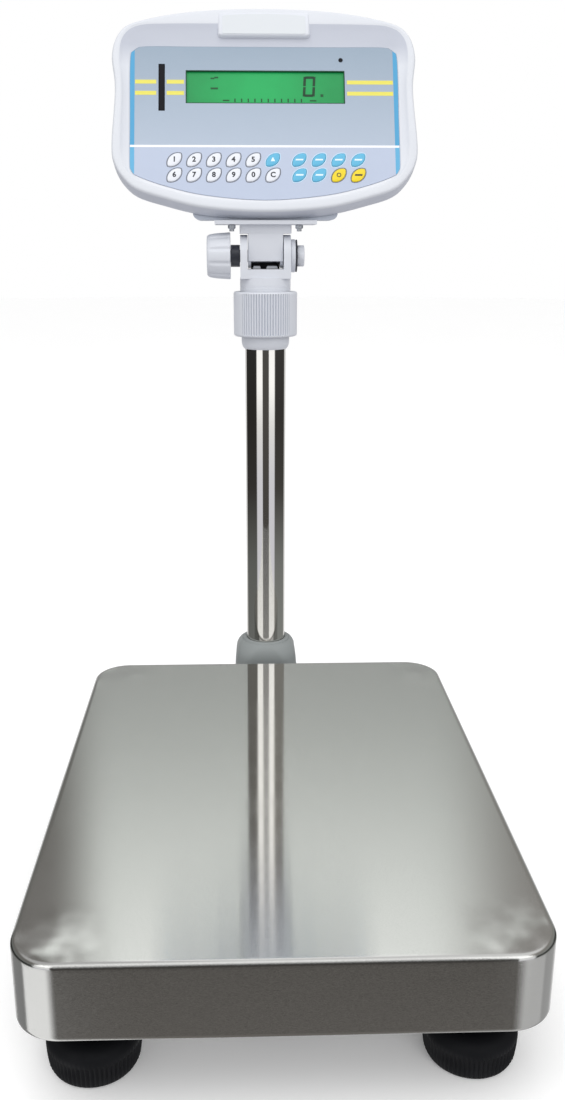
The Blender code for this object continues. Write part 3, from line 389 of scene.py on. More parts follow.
# Dark green for the tray's walls and rim: painted shade inside the sunk display.
GREEN_EDGE_SHADE = moulded("display_edge_painted_shade", srgb(18, 78, 46), 0.4, 0.02, variation=0.08)
SEGMENT = moulded("display_segment", srgb(8, 56, 30), 0.4, 0.02)
SEGMENT_PALE = moulded("display_mark", srgb(10, 76, 38), 0.4, 0.02)
PRINT_WHITE = film("print_white", srgb(243, 245, 250), 0.42, 0.01)
PRINT_YELLOW = film("print_yellow", srgb(226, 217, 96), 0.42, 0.03)
PRINT_BLUE = film("print_blue", srgb(78, 158, 202), 0.40, 0.03)
PRINT_PALE_BLUE = film("print_pale_blue", srgb(98, 172, 212), 0.40, 0.03)
PRINT_HALO = film("print_halo", srgb(196, 224, 244), 0.40, 0.02)
PRINT_OUTLINE = film("print_outline", srgb(112, 116, 126), 0.42, 0.04)
LEGEND_DARK = film("legend_dark", srgb(48, 50, 56), 0.5, 0.05)
LEGEND_PALE = film("legend_pale", srgb(222, 240, 250), 0.45, 0.02)
KEY_WHITE = film("key_white_film", srgb(226, 229, 236), 0.30, 0.02, 0.3)
KEY_BLUE = film("key_blue_film", srgb(92, 178, 214), 0.30, 0.04, 0.3)
KEY_YELLOW = film("key_yellow_film", srgb(234, 208, 24), 0.30, 0.04, 0.3)


# ---------------------------------------------------------------- mesh tools

WELD = 0.000002


def mesh_from(work):
    bmesh.ops.recalc_face_normals(work, faces=work.faces)
    mesh = bpy.data.meshes.new("mesh")
    work.to_mesh(mesh)
    work.free()
    return mesh


def loft(rings, closed=False):
    """Joins rings of equally many points with quads; closed joins the last ring to the first."""
    work = bmesh.new()
    rows = [[work.verts.new(point) for point in ring] for ring in rings]
    pairs = list(zip(rows, rows[1:]))
    if closed:
        pairs.append((rows[-1], rows[0]))
    count = len(rows[0])
    for near, far in pairs:
        for index in range(count):
            after = (index + 1) % count
            work.faces.new((near[index], near[after], far[after], far[index]))
    if not closed:
        work.faces.new(reversed(rows[0]))
        work.faces.new(rows[-1])
    return mesh_from(work)


def lathe(profile, sides=96, closed=False, ripple=None):
    """Turns (radius, height) points round Z. A ripple function changes the radius by angle."""
    work = bmesh.new()
    rows = []
    for radius, height in profile:
        if radius < 1e-7:
            rows.append([work.verts.new((0.0, 0.0, height))])
            continue
        row = []
        for step in range(sides):
            angle = 2 * math.pi * step / sides
            reach = ripple(radius, height, angle) if ripple else radius
            row.append(work.verts.new((reach * math.cos(angle), reach * math.sin(angle), height)))
        rows.append(row)
    pairs = list(zip(rows, rows[1:]))
    if closed:
        pairs.append((rows[-1], rows[0]))
    for near, far in pairs:
        for index in range(sides):
            after = (index + 1) % sides
            corners = [near[index % len(near)], near[after % len(near)]]
            corners += [far[after % len(far)], far[index % len(far)]]
            work.faces.new(list(dict.fromkeys(corners)))
    return mesh_from(work)


def flat_solid(outlines, thickness):
    """A flat outline with any holes after it, as a filled 2D curve turned into a closed mesh."""
    curve = bpy.data.curves.new("outline", "CURVE")
    curve.dimensions = "2D"
    curve.fill_mode = "BOTH"
    curve.extrude = thickness / 2
    for outline in outlines:
        line = curve.splines.new("POLY")
        line.points.add(len(outline) - 1)
        for point, (x, y) in zip(line.points, outline):
            point.co = (x, y, 0.0, 1.0)
        line.use_cyclic_u = True
    return solid_of(curve)


def solid_of(curve):
    holder = bpy.data.objects.new("holder", curve)
    bpy.context.scene.collection.objects.link(holder)
    bpy.context.view_layer.update()
    evaluated = holder.evaluated_get(bpy.context.evaluated_depsgraph_get())
    mesh = bpy.data.meshes.new_from_object(evaluated)
    bpy.data.objects.remove(holder, do_unlink=True)
    work = bmesh.new()
    work.from_mesh(mesh)
    bmesh.ops.remove_doubles(work, verts=work.verts, dist=WELD)
    return mesh_from(work)


def merged(meshes, indexes=None):
    """One mesh from several; indexes gives each one's material slot."""
    work = bmesh.new()
    for number, mesh in enumerate(meshes):
        before = len(work.faces)
        work.from_mesh(mesh)
        work.faces.ensure_lookup_table()
        for face in work.faces[before:]:
            face.material_index = indexes[number] if indexes else 0
    return mesh_from(work)


def circle(radius, sides, centre=(0.0, 0.0)):
    turns = [2 * math.pi * step / sides for step in range(sides)]
    return [(centre[0] + radius * math.cos(turn), centre[1] + radius * math.sin(turn)) for turn in turns]


def moved(mesh, matrix):
    mesh.transform(matrix)
    return mesh


def rounded_rectangle(half_x, half_y, radius, steps=14):
    points = []
    for corner, (sign_x, sign_y) in enumerate(((1, 1), (-1, 1), (-1, -1), (1, -1))):
        centre = Vector((sign_x * (half_x - radius), sign_y * (half_y - radius)))
        for step in range(steps + 1):
            angle = math.pi / 2 * (corner + step / steps)
            points.append(centre + radius * Vector((math.cos(angle), math.sin(angle))))
    return points


def slab(low, high, soft):
    """A thin block between two corners with its edges rounded over."""
    low, high = Vector(low), Vector(high)
    half, middle = (high - low) / 2, (high + low) / 2
    rings = []
    part = soft * 0.3
    for step, depth in (
        (soft, -half.y), (part, part - half.y), (0.0, soft - half.y),
        (0.0, half.y - soft), (part, half.y - part), (soft, half.y),
    ):
        outline = rounded_rectangle(half.x - step, half.z - step, soft * 1.2, 4)
        rings.append([(x + middle.x, depth + middle.y, z + middle.z) for x, z in outline])
    return loft(rings)


def ring_at(points, height):
    return [(x, y, height) for x, y in points]


def smooth_outline(half, steps=16):
    """A closed Catmull-Rom curve through a half outline and its mirror image."""
    knots = [Vector(point) for point in list(half) + [(-x, y) for x, y in reversed(half[1:-1])]]
    points = []
    for index in range(len(knots)):
        a, b, c, d = (knots[(index + offset) % len(knots)] for offset in (-1, 0, 1, 2))
        for step in range(steps):
            t = step / steps
            points.append(
                0.5 * (2 * b + (c - a) * t + (2 * a - 5 * b + 4 * c - d) * t ** 2
                       + (3 * b - a - 3 * c + d) * t ** 3)
            )
    return points


def inset(points, distance):
    """Moves each point of an anticlockwise outline inwards along its normal."""
    result = []
    for index, point in enumerate(points):
        along = points[(index + 1) % len(points)] - points[index - 1]
        result.append(point + Vector((-along.y, along.x)).normalized() * distance)
    return result


def even_ring(outline, count=FINE):
    """Samples an outline at even angles round RING_CENTRE, so that different outlines match."""
    ring = []
    for number in range(count):
        angle = 2 * math.pi * number / count
        ray = Vector((math.cos(angle), math.sin(angle)))
        for index, start in enumerate(outline):
            a, b = outline[index - 1] - RING_CENTRE, start - RING_CENTRE
            side_a, side_b = ray.cross(a), ray.cross(b)
            if side_a <= 0 < side_b and a.dot(ray) + b.dot(ray) > 0:
                ring.append(RING_CENTRE + a.lerp(b, side_a / (side_a - side_b)))
                break
    return ring


def head_ring(points, depth):
    return [(point.x, depth, point.y) for point in points]


def piece(name, mesh, materials, body, slot, place=AT_REST, stands_for=(), smooth=32):
    """Links a finished piece, sets its looks, and makes it ride on a body."""
    mesh.name = name
    for material in materials if isinstance(materials, (list, tuple)) else (materials,):
        mesh.materials.append(material)
    mesh.transform(place)
    mesh.shade_smooth()
    mesh.set_sharp_from_angle(angle=math.radians(smooth))
    made = bpy.data.objects.new(name, mesh)
    bpy.context.scene.collection.objects.link(made)
    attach(made, body)
    if stands_for:
        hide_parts(*stands_for)
    return made


def softened(node, materials, body, slot, width=0.0006, segments=3):
    """A copy of a CAD node with its flat faces joined up and its hard edges rounded over."""
    work = bmesh.new()
    work.from_mesh(frame["nodes"][node].data)
    bmesh.ops.remove_doubles(work, verts=work.verts, dist=WELD)
    bmesh.ops.dissolve_limit(
        work, angle_limit=math.radians(1), verts=work.verts, edges=work.edges
    )
    made = piece(node + "_finish", mesh_from(work), materials, body, slot, stands_for=(node,))
    step = made.modifiers.new("rounding", "BEVEL")
    step.width = width
    step.segments = segments
    step.limit_method = "ANGLE"
    step.angle_limit = math.radians(40)
    step.harden_normals = True
    return made


WALL = smooth_outline(WALL_HALF)
RECESS = smooth_outline(RECESS_HALF)
PANEL_EDGE = smooth_outline(PANEL_HALF)


# ---------------------------------------------------------------- platform

def weighing_pan():
    """The pressed pan: rolled edge, straight skirt, a small hem at the foot and an open underside."""
    half, centre = PAN_HALF, PAN_CENTRE
    corner, roll, sheet = 0.028, 0.0030, 0.0012
    top, foot = PAN_HIGH.z, PAN_LOW.z

    def level(step, height):
        return ring_at(rounded_rectangle(half.x - step, half.y - step, corner - step, 24), height)

    rings = [level(0.010, top - sheet), level(roll, top - sheet)]
    for step in range(7):
        turn = math.pi / 2 * (1 - step / 6)
        reach = roll - sheet
        rings.append(level(sheet + reach * (1 - math.cos(turn)), top - roll + reach * math.sin(turn)))
    rings += [level(sheet, foot + 0.0004), level(sheet * 0.75, foot), level(sheet * 0.25, foot)]
    rings += [level(0.0, foot + 0.0004), level(0.0, foot + 0.002), level(0.0, top - roll - 0.002)]
    for step in range(13):
        turn = math.pi / 2 * step / 12
        rings.append(level(roll * (1 - math.cos(turn)), top - roll + roll * math.sin(turn)))
    rings += [level(roll + 0.0015, top), level(roll + 0.006, top)]
    mesh = moved(loft(rings), Matrix.Translation((centre.x, centre.y, 0.0)))
    piece("pan_sheet", mesh, STEEL, "pan", "brushed_stainless", stands_for=("weighing_pan",), smooth=50)


def foot(name):
    """A levelling foot: smooth shoulder, fine grip ribs round the lower half, and its stud."""
    low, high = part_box(name)
    radius = (high.x - low.x) / 2
    shoulder, stud = 0.026, 0.005
    grip_low, grip_high, rib_depth, rib_count = 0.0035, 0.0150, 0.0010, 64

    def ribs(reach, height, angle):
        if grip_low <= height <= grip_high and reach > radius * 0.9:
            return reach - rib_depth * (0.5 + 0.5 * math.cos(rib_count * angle))
        return reach

    profile = [
        (0.0, high.z), (stud - 0.0008, high.z), (stud, high.z - 0.0008), (stud, shoulder),
        (radius - 0.009, shoulder), (radius - 0.0045, shoulder - 0.0008),
        (radius - 0.0015, shoulder - 0.0034),
        (radius - 0.0002, shoulder - 0.0065), (radius, grip_high + 0.0010), (radius, grip_high),
        (radius - 0.0003, 0.009), (radius - 0.0010, grip_low), (radius - 0.0022, 0.0012),
        (radius - 0.0040, 0.0), (0.0, 0.0),
    ]
    centre = Matrix.Translation(((low.x + high.x) / 2, (low.y + high.y) / 2, 0.0))
    mesh = moved(lathe(profile, 384, ripple=ribs), centre)
    piece(name + "_moulding", mesh, RUBBER, name, "black_rubber", stands_for=(name,), smooth=50)


def platform():
    weighing_pan()
    for side in ("front_left", "front_right", "rear_left", "rear_right"):
        foot("foot_" + side)
        softened("pan_buffer_" + side, RUBBER, "platform", "black_rubber", 0.0005)
    softened("base_frame", FRAME_PAINT, "base", "frame_paint", 0.0007, 2)
    softened("pan_support", FRAME_PAINT, "platform", "frame_paint", 0.0007, 2)
    softened("load_cell", ALUMINIUM, "base", "cell_aluminium", 0.0004, 2)
    softened("cell_spacer", ALUMINIUM, "platform", "cell_aluminium", 0.0004, 2)
    softened("spirit_level", BLACK_SMOOTH, "base", "dark_plastic", 0.0005)


# ---------------------------------------------------------------- column

def column():
    low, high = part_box("column_tube")
    radius, wall = (high.x - low.x) / 2, 0.0015
    tube = ((radius, high.z), (radius, low.z), (radius - wall, low.z), (radius - wall, high.z))
    piece(
        "tube_polished", lathe(tube, 160, closed=True), CHROME, "base", "polished_tube",
        ON_COLUMN, ("column_tube",),
    )
    softened("column_bracket", ZINC, "base", "zinc_steel", 0.0004, 2)

    levels = (
        (0.0506, 0.0300, 0.0130), (0.0820, 0.0284, 0.0140), (0.0940, 0.0274, 0.0152),
        (0.0985, 0.0267, 0.0165), (0.1020, 0.0255, 0.0182), (0.1048, 0.0241, 0.0197),
        (0.1066, 0.0226, 0.0206), (0.1073, 0.0217, 0.0205), (0.1070, 0.0212, 0.0204),
        (0.1078, 0.0208, 0.0203), (0.1086, 0.0202, 0.0199), (0.1090, 0.0194, 0.0193),
    )
    mouth, wall = radius + 0.0003, 0.0020
    sections = [*levels, (0.1085, mouth, mouth - 0.0001), (0.1055, mouth, mouth - 0.0001)]
    sections += [(z, half - wall, corner - wall) for z, half, corner in reversed(levels[:4])]
    rings = [ring_at(rounded_rectangle(half, half, corner, 20), z) for z, half, corner in sections]
    piece(
        "boot_moulding", loft(rings, closed=True), BOOT, "base", "boot_grey",
        ON_COLUMN, ("column_boot",), 40,
    )

    low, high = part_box("column_ferrule")
    radius = (high.x - low.x) / 2
    bore = 0.0178
    ferrule = (
        (radius, high.z), (radius, low.z + 0.0058), (radius - 0.0003, low.z + 0.0040),
        (radius - 0.0009, low.z + 0.0020), (radius - 0.0018, low.z + 0.0006),
        (radius - 0.0024, low.z), (bore, low.z), (bore, high.z),
    )
    piece(
        "ferrule_moulding", lathe(ferrule, 128, closed=True), NECK, "base", "neck_grey",
        ON_COLUMN, ("column_ferrule",), 40,
    )
    lock_ring()


def lock_ring():
    """The locking collar: fine upright ribs on its front and back, smooth cheeks on its sides, and painted
    shade in the grooves.
    """
    low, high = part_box("lock_ring")
    radius = (high.x - low.x) / 2
    bore, depth, ribs, half_field = 0.0217, 0.0013, 72, math.radians(47)
    soft = 0.0016

    def grip(reach, height, angle):
        from_front = abs(math.remainder(angle - math.pi / 2, math.pi))
        inside = low.z + soft < height < high.z - soft
        if not inside or from_front > half_field or reach < radius * 0.9:
            return reach
        return reach - depth * max(0.0, -math.cos(ribs * angle) + 0.25) / 1.25

    heights = [low.z + 0.0019, low.z + 0.0022, high.z - 0.0022, high.z - 0.0019]
    outside = [(radius - 0.0014, low.z), (radius - 0.0005, low.z + 0.0005)]
    outside += [(radius - 0.0001, low.z + 0.0012)]
    outside += [(radius, height) for height in heights]
    outside += [(radius - 0.0002, high.z - 0.0010), (radius - 0.0008, high.z - 0.0003)]
    outside += [(radius - 0.0018, high.z), (bore, high.z), (bore, low.z)]
    mesh = lathe(outside, 1152, closed=True, ripple=grip)
    # Faces deep in the grooves get the darker copy: painted shade.
    for polygon in mesh.polygons:
        centre = polygon.center
        reach = math.hypot(centre.x, centre.y)
        if radius * 0.9 < reach < radius - depth * 0.45 and low.z + soft < centre.z < high.z - soft:
            polygon.material_index = 1
    skins = (NECK, NECK_GROOVE_SHADE)
    piece("collar_ribbed", mesh, skins, "lock_ring", "neck_grey", ON_COLUMN, ("lock_ring",), 40)


# ---------------------------------------------------------------- tilt clamp

def tilt_clamp():
    softened("swivel_yoke", NECK, "swivel", "neck_grey", 0.0008)
    softened("tilt_bolt", ZINC, "swivel", "zinc_steel", 0.0004, 2)
    spigot_low, spigot_high = (height - PIVOT.z for height in SPIGOT_Z)
    outer = 0.02145
    thread = [(outer - 0.0006, spigot_high), (outer - 0.0001, spigot_high - 0.0004)]
    for turn in range(4):
        crest = spigot_low + 0.0050 - 0.0012 * turn
        thread += [(outer, crest), (outer, crest - 0.0005), (outer - 0.0004, crest - 0.0008)]
    thread += [(outer - 0.0004, spigot_low), (0.0190, spigot_low), (0.0190, spigot_high)]
    piece("spigot_thread", lathe(thread, 128, closed=True), NECK, "swivel", "neck_grey", AT_PIVOT)
    knob()
    softened("knob_sleeve", SLEEVE_DARK, "swivel", "dark_plastic", 0.0004)
    softened("friction_washer", NECK, "swivel", "neck_grey", 0.0005)
    toothed_washer()
    nut()
    slot()


def slot():
    """What shows in the slot under the bracket's tongue: dark sheets as painted shadow, and two cable guides.
    """
    half, floor, soft = 0.0119, YOKE_FLOOR_Z - PIVOT.z, 0.0002
    low, high = floor - 0.0003, floor + 0.0003
    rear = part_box("swivel_yoke")[1][1] - PIVOT.y
    # Thin dark sheets where the slot is only in shadow: painted shadow.
    for name, body, corners in (
        ("slot_back_shadow", "swivel", ((-half, rear - 0.0008, low), (half, rear - 0.0001, -0.0050))),
        ("slot_floor_shadow", "swivel", ((-half, -0.0098, low), (half, -0.0002, high))),
        ("slot_shadow_sheet", "head", ((-half, -0.0008, -0.0105), (half, 0.0040, -0.0056))),
    ):
        piece(name, slab(*corners, soft), BLACK_SMOOTH, body, "dark_plastic", AT_PIVOT)
    face = slab((-TONGUE_HALF, -0.0119, -0.0043), (TONGUE_HALF, -0.0105, 0.0188), 0.0006)
    piece("tongue_face", face, NECK, "head", "neck_grey", AT_PIVOT)
    forward, foot_z, rise = -0.0028, -0.0112, 0.0033
    for name, centre, half in (("cable_guide_left", -0.0073, 0.0034), ("cable_guide_right", 0.0055, 0.0050)):
        rings = []
        for turn in (0.0, 0.35, 0.7, 1.0, 1.25):
            reach = half * (math.cos(turn) * 0.35 + 0.65)
            outline = rounded_rectangle(reach, 0.0022 * (0.5 + 0.5 * math.cos(turn)), 0.0008, 5)
            height = foot_z + rise * math.sin(turn)
            rings.append([(x + centre, y + forward, height) for x, y in outline])
        piece(name, loft(rings), NECK, "head", "neck_grey", AT_PIVOT, smooth=60)


def knob():
    """The clamp knob: ten shallow flutes, a rounded outer end and a slight flare inwards."""
    low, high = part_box("tilt_knob")
    radius = (high.z - low.z) / 2
    outer, inner = low.x, high.x
    bore, flute_depth, flute_count = 0.0054, 0.0011, 10

    def flutes(reach, along, angle):
        blend = min(1.0, max(0.0, (along - outer - 0.0010) / 0.0045))
        if reach < radius * 0.6:
            return reach
        groove = max(0.0, math.cos(flute_count * angle)) ** 3
        return reach - flute_depth * blend * groove

    profile = [(0.0, outer), (radius * 0.45, outer), (radius * 0.70, outer + 0.0002)]
    profile += [
        (radius * (0.93 - 0.16 * (1 - math.sin(turn))), outer + 0.0050 * (1 - math.cos(turn)))
        for turn in (0.25, 0.55, 0.85, 1.15, 1.45)
    ]
    profile += [
        (radius * 0.955, outer + 0.0075), (radius * 0.97, outer + 0.0110),
        (radius * 0.99, inner - 0.0025), (radius, inner - 0.0008), (radius - 0.0005, inner),
        (bore, inner), (bore, inner - 0.0130), (0.0, inner - 0.0130),
    ]
    mesh = moved(lathe(profile, 240, ripple=flutes), TO_X)
    piece("knob_fluted", mesh, NECK, "knob", "neck_grey", ON_AXIS, ("tilt_knob",), 50)


def toothed_washer():
    low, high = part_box("toothed_washer")
    radius, bore = (high.z - low.z) / 2, 0.0054

    def teeth(reach, along, angle):
        return reach - 0.0003 * (0.5 + 0.5 * math.cos(60 * angle)) if reach > 0.01 else reach

    edge = 0.0003
    profile = (
        (radius - edge, low.x), (radius, low.x + edge), (radius, high.x - edge),
        (radius - edge, high.x), (bore, high.x), (bore, low.x),
    )
    mesh = moved(lathe(profile, 240, closed=True, ripple=teeth), TO_X)
    names = ("toothed_washer",)
    piece("washer_toothed", mesh, SLEEVE_DARK, "swivel", "zinc_steel", ON_AXIS, names, 40)


def nut():
    """The cap nut: a round cap with six shallow flats and a small dimple in its end."""
    low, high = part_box("tilt_nut")
    radius = (high.z - low.z) / 2

    def flats(reach, along, angle):
        near = math.remainder(angle, math.pi / 3)
        return min(reach, radius * 0.955 / math.cos(near)) if reach > radius * 0.8 else reach

    profile = (
        (0.0, low.x), (radius - 0.0003, low.x), (radius, low.x + 0.0004), (radius, high.x - 0.0012),
        (radius - 0.0004, high.x - 0.0005), (radius - 0.0012, high.x), (0.0030, high.x),
        (0.0026, high.x - 0.0008), (0.0, high.x - 0.0008),
    )
    mesh = moved(lathe(profile, 144, ripple=flats), TO_X)
    piece("nut_cap", mesh, NECK, "swivel", "neck_grey", ON_AXIS, ("tilt_nut",), 40)


# ---------------------------------------------------------------- head

def crest(point):
    """How far the rim stands forward of the tilt axis, a little less towards the bottom."""
    low, high = 0.025, 0.090
    share = min(1.0, max(0.0, (point.y - low) / (high - low)))
    return 0.0358 + 0.0022 * share


def front_case():
    """The bezel: a round-shouldered rim, a sloping brow down to the panel, and a wall behind; the brow and
    the wall get materials with painted shade.
    """
    rings = [head_ring(even_ring(inset(WALL, 0.0006)), CASE_SPLIT_Y)]
    for step, drop in (
        (0.0001, 0.0120), (0.0, 0.0080), (0.0000, 0.0034), (0.0001, 0.0020), (0.0004, 0.0011),
        (0.0010, 0.0004), (0.0018, 0.0001), (0.0030, 0.0),
    ):
        rings.append([(p.x, drop - crest(p), p.y) for p in even_ring(inset(WALL, step))])
    edge, floor_edge = even_ring(RECESS), even_ring(inset(PANEL_EDGE, -0.0004))
    inner_edge = even_ring(inset(RECESS, -0.0014))
    rings.append([(p.x, 0.0001 - crest(p), p.y) for p in inner_edge])
    rings.append([(p.x, 0.0003 - crest(p), p.y) for p in edge])
    lip = 0.0003
    for share, depth in ((0.12, 0.22), (0.35, 0.48), (0.65, 0.76), (0.9, 0.96), (1.0, 1.0)):
        ring = []
        for a, b in zip(edge, floor_edge):
            point = a.lerp(b, share)
            start = lip - crest(a)
            ring.append((point.x, start + (FACE_Y - lip - start) * depth, point.y))
        rings.append(ring)
    rings.append(head_ring(floor_edge, FACE_Y))
    ledge = even_ring(inset(PANEL_EDGE, 0.0040))
    rings += [head_ring(ledge, FACE_Y), head_ring(ledge, FACE_Y + 0.0025)]
    rings.append(head_ring(even_ring(inset(WALL, 0.0040)), FACE_Y + 0.0025))
    rings.append(head_ring(even_ring(inset(WALL, 0.0030)), CASE_SPLIT_Y))
    mesh = loft(rings, closed=True)
    inner = {(round(p[0], 5), round(p[2], 5)) for ring in rings[10:16] for p in ring}
    for polygon in mesh.polygons:
        spots = [mesh.vertices[corner].co for corner in polygon.vertices]
        # Brow faces: the material with painted shade, greyer towards the top.
        if all(p.y < FACE_Y + 0.0002 and (round(p.x, 5), round(p.z, 5)) in inner for p in spots):
            polygon.material_index = 1
        # Outer wall faces: the greyer copy of the case white, painted shade.
        elif all(p.y > 0.0018 - crest(Vector((p.x, p.z))) for p in spots):
            polygon.material_index = 2
    piece("bezel", mesh, (CASE_WHITE, BROW_SHADE, CASE_WALL_SHADE), "head", "case_white", IN_HEAD, ("front_case",), 60)


def rear_case():
    """The back shell, with a rounded rear edge, and the flat foot block that the bracket holds."""
    start = CASE_SPLIT_Y + 0.0003
    levels = (
        (0.0, 0.0028), (0.0010, 0.0028), (0.0012, 0.0014), (0.0080, 0.0047), (0.0200, 0.0099),
        (0.0310, 0.0150), (0.0375, 0.0190), (0.0420, 0.0226), (0.0448, 0.0256), (0.0466, 0.0286),
        (0.0475, 0.0312), (0.0477, 0.0330),
    )
    rings = [head_ring(even_ring(inset(WALL, step), 160), start + depth) for depth, step in levels]
    piece("rear_shell", loft(rings), CASE_GREY, "head", "case_grey", IN_HEAD, ("rear_case",), 40)
    slope, underside, top = math.tan(TILT), 0.0313, 0.0885
    rings = []
    for depth, taper in (
        (-0.0190, 0.0), (0.0100, 0.0), (0.0200, 0.0014), (0.0280, 0.0042), (0.0316, 0.0078),
        (0.0330, 0.0120),
    ):
        low, high, half = underside + slope * depth + taper / 2, top - taper, 0.0600 - taper
        outline = rounded_rectangle(half, (high - low) / 2, 0.0060, 8)
        middle = (high + low) / 2
        rings.append([(x, depth, z + middle) for x, z in outline])
    piece("rear_foot_block", loft(rings), CASE_GREY, "head", "case_grey", IN_HEAD, smooth=40)


def brow_tab():
    """The blank tab on the brow: a frame with sloping sides, and a plate with an arched top in it."""
    middle, half_x, half_z = 0.18475, 0.03825, 0.01075
    rings = []
    for step, depth in (
        (0.0, -0.0352), (0.0, -0.0367), (0.0004, -0.0376), (0.0009, -0.0383), (0.0015, -0.0387),
        (0.0022, -0.0389),
    ):
        outline = rounded_rectangle(half_x - step, half_z - step * 0.8, 0.0032 - step, 8)
        rings.append([(x, depth, z + middle) for x, z in outline])
    piece("tab_frame", loft(rings), NECK, "head", "case_white", IN_HEAD, ("name_plate",), 50)
    left, bottom, shoulder, rise = 0.0345, 0.1757, 0.1910, 0.0022
    turns = [math.pi * step / 24 for step in range(25)]
    arch = [(left * math.cos(turn), shoulder + rise * math.sin(turn)) for turn in turns]
    cut = 0.001
    plate = [(-left, bottom + cut), (-left + cut, bottom), (left - cut, bottom), (left, bottom + cut)]
    mesh = moved(flat_solid([plate + arch], 0.0005), UPRIGHT)
    place = IN_HEAD @ Matrix.Translation((0.0, -0.0389, 0.0))
    piece("tab_plate", mesh, TAB_PLATE, "head", "case_white", place)


def key_places():
    starts = []
    for start, count in KEY_STARTS:
        starts += [start + KEY_PITCH * number for number in range(count)]
    for names, height in zip(KEY_NAMES, KEY_ROWS):
        for name, across in zip(names, starts):
            yield name, across, height


def slanted_ellipse(grow=0.0, sides=48, centre=(0.0, 0.0)):
    points = []
    for step in range(sides):
        angle = 2 * math.pi * step / sides
        along = (KEY_LONG + grow) * math.cos(angle)
        aside = (KEY_SHORT + grow) * math.copysign(abs(math.sin(angle)) ** KEY_POINT, math.sin(angle))
        x = along * math.cos(KEY_SLANT) - aside * math.sin(KEY_SLANT)
        y = along * math.sin(KEY_SLANT) + aside * math.cos(KEY_SLANT)
        points.append(Vector((x + centre[0], y + centre[1])))
    return points


def bar(left, bottom, right, top, lean=0.0):
    """A four-sided outline whose top is pushed sideways by lean."""
    return [(left, bottom), (right, bottom), (right + lean, top), (left + lean, top)]


def on_face(name, outlines, material, slot, front=PANEL_FRONT, thickness=PRINT_THICKNESS):
    """Thin print that lies on the panel: each outline is its own closed flat solid."""
    meshes = [flat_solid(group, thickness) for group in outlines]
    mesh = moved(merged(meshes), UPRIGHT)
    place = IN_HEAD @ Matrix.Translation((0.0, front - thickness / 2, 0.0))
    piece(name, mesh, material, "head", slot, place)


def panel():
    """The overlay film with its openings, and the print on it."""
    margin = 0.0003
    outlines = [even_ring(PANEL_EDGE)]
    for left, bottom, right, top in (DISPLAY, LIGHT_BAR):
        outlines.append(bar(left - margin, bottom - margin, right + margin, top + margin))
    for _, across, height in key_places():
        outlines.append(slanted_ellipse(0.0002, 48, (across, height)))
    mesh = moved(flat_solid(outlines, 0.0005), UPRIGHT)
    place = IN_HEAD @ Matrix.Translation((0.0, PANEL_FRONT + 0.00025, 0.0))
    piece("overlay_film", mesh, PANEL, "head", "panel_blue", place, ("overlay_panel",))

    line_low, line_high, stripe_x = 0.0781, 0.0800, 0.1070
    edge = inset(PANEL_EDGE, 0.0002)
    right_side = [p for p in edge if p.x > stripe_x]
    upper = [p for p in right_side if p.y > line_high]
    lower = [p for p in right_side if p.y < line_low]
    mirrored = {}
    for name, points, closing in (
        ("upper", upper, ((stripe_x, upper[-1].y), (stripe_x, line_high), (upper[0].x, line_high))),
        ("lower", lower, ((lower[-1].x, line_low), (stripe_x, line_low), (stripe_x, lower[0].y))),
    ):
        outline = [tuple(p) for p in points] + list(closing)
        mirrored[name] = [[outline], [[(-x, y) for x, y in reversed(outline)]]]
    on_face("side_stripes", mirrored["upper"], PRINT_BLUE, "panel_blue")
    on_face("side_stripes_low", mirrored["lower"], PRINT_PALE_BLUE, "panel_blue")
    half = 0.1104
    on_face("dividing_line", [[bar(-half, line_low, half, line_high)]], PRINT_WHITE, "panel_blue")
    stripes = []
    for bottom, top in ((0.1337, 0.1372), (0.1238, 0.1273)):
        for left, right in ((-0.1066, -0.0892), (-0.0806, -0.0664), (0.0684, 0.1066)):
            stripes.append([bar(left, bottom, right, top)])
    on_face("yellow_stripes", stripes, PRINT_YELLOW, "panel_blue")
    grey, pale = [], []
    for name, across, height in key_places():
        ring = [slanted_ellipse(grow, 48, (across, height)) for grow in (0.0009, 0.00025)]
        (pale if key_finish(name)[0] is KEY_BLUE else grey).append(ring)
    on_face("key_outlines", grey, PRINT_OUTLINE, "panel_blue")
    on_face("key_halos", pale, PRINT_HALO, "panel_blue")
    charge = circle(0.0018, 32, (0.0635, 0.1552))
    on_face("charge_light", [[charge]], BLACK_SMOOTH, "dark_plastic", thickness=0.0003)


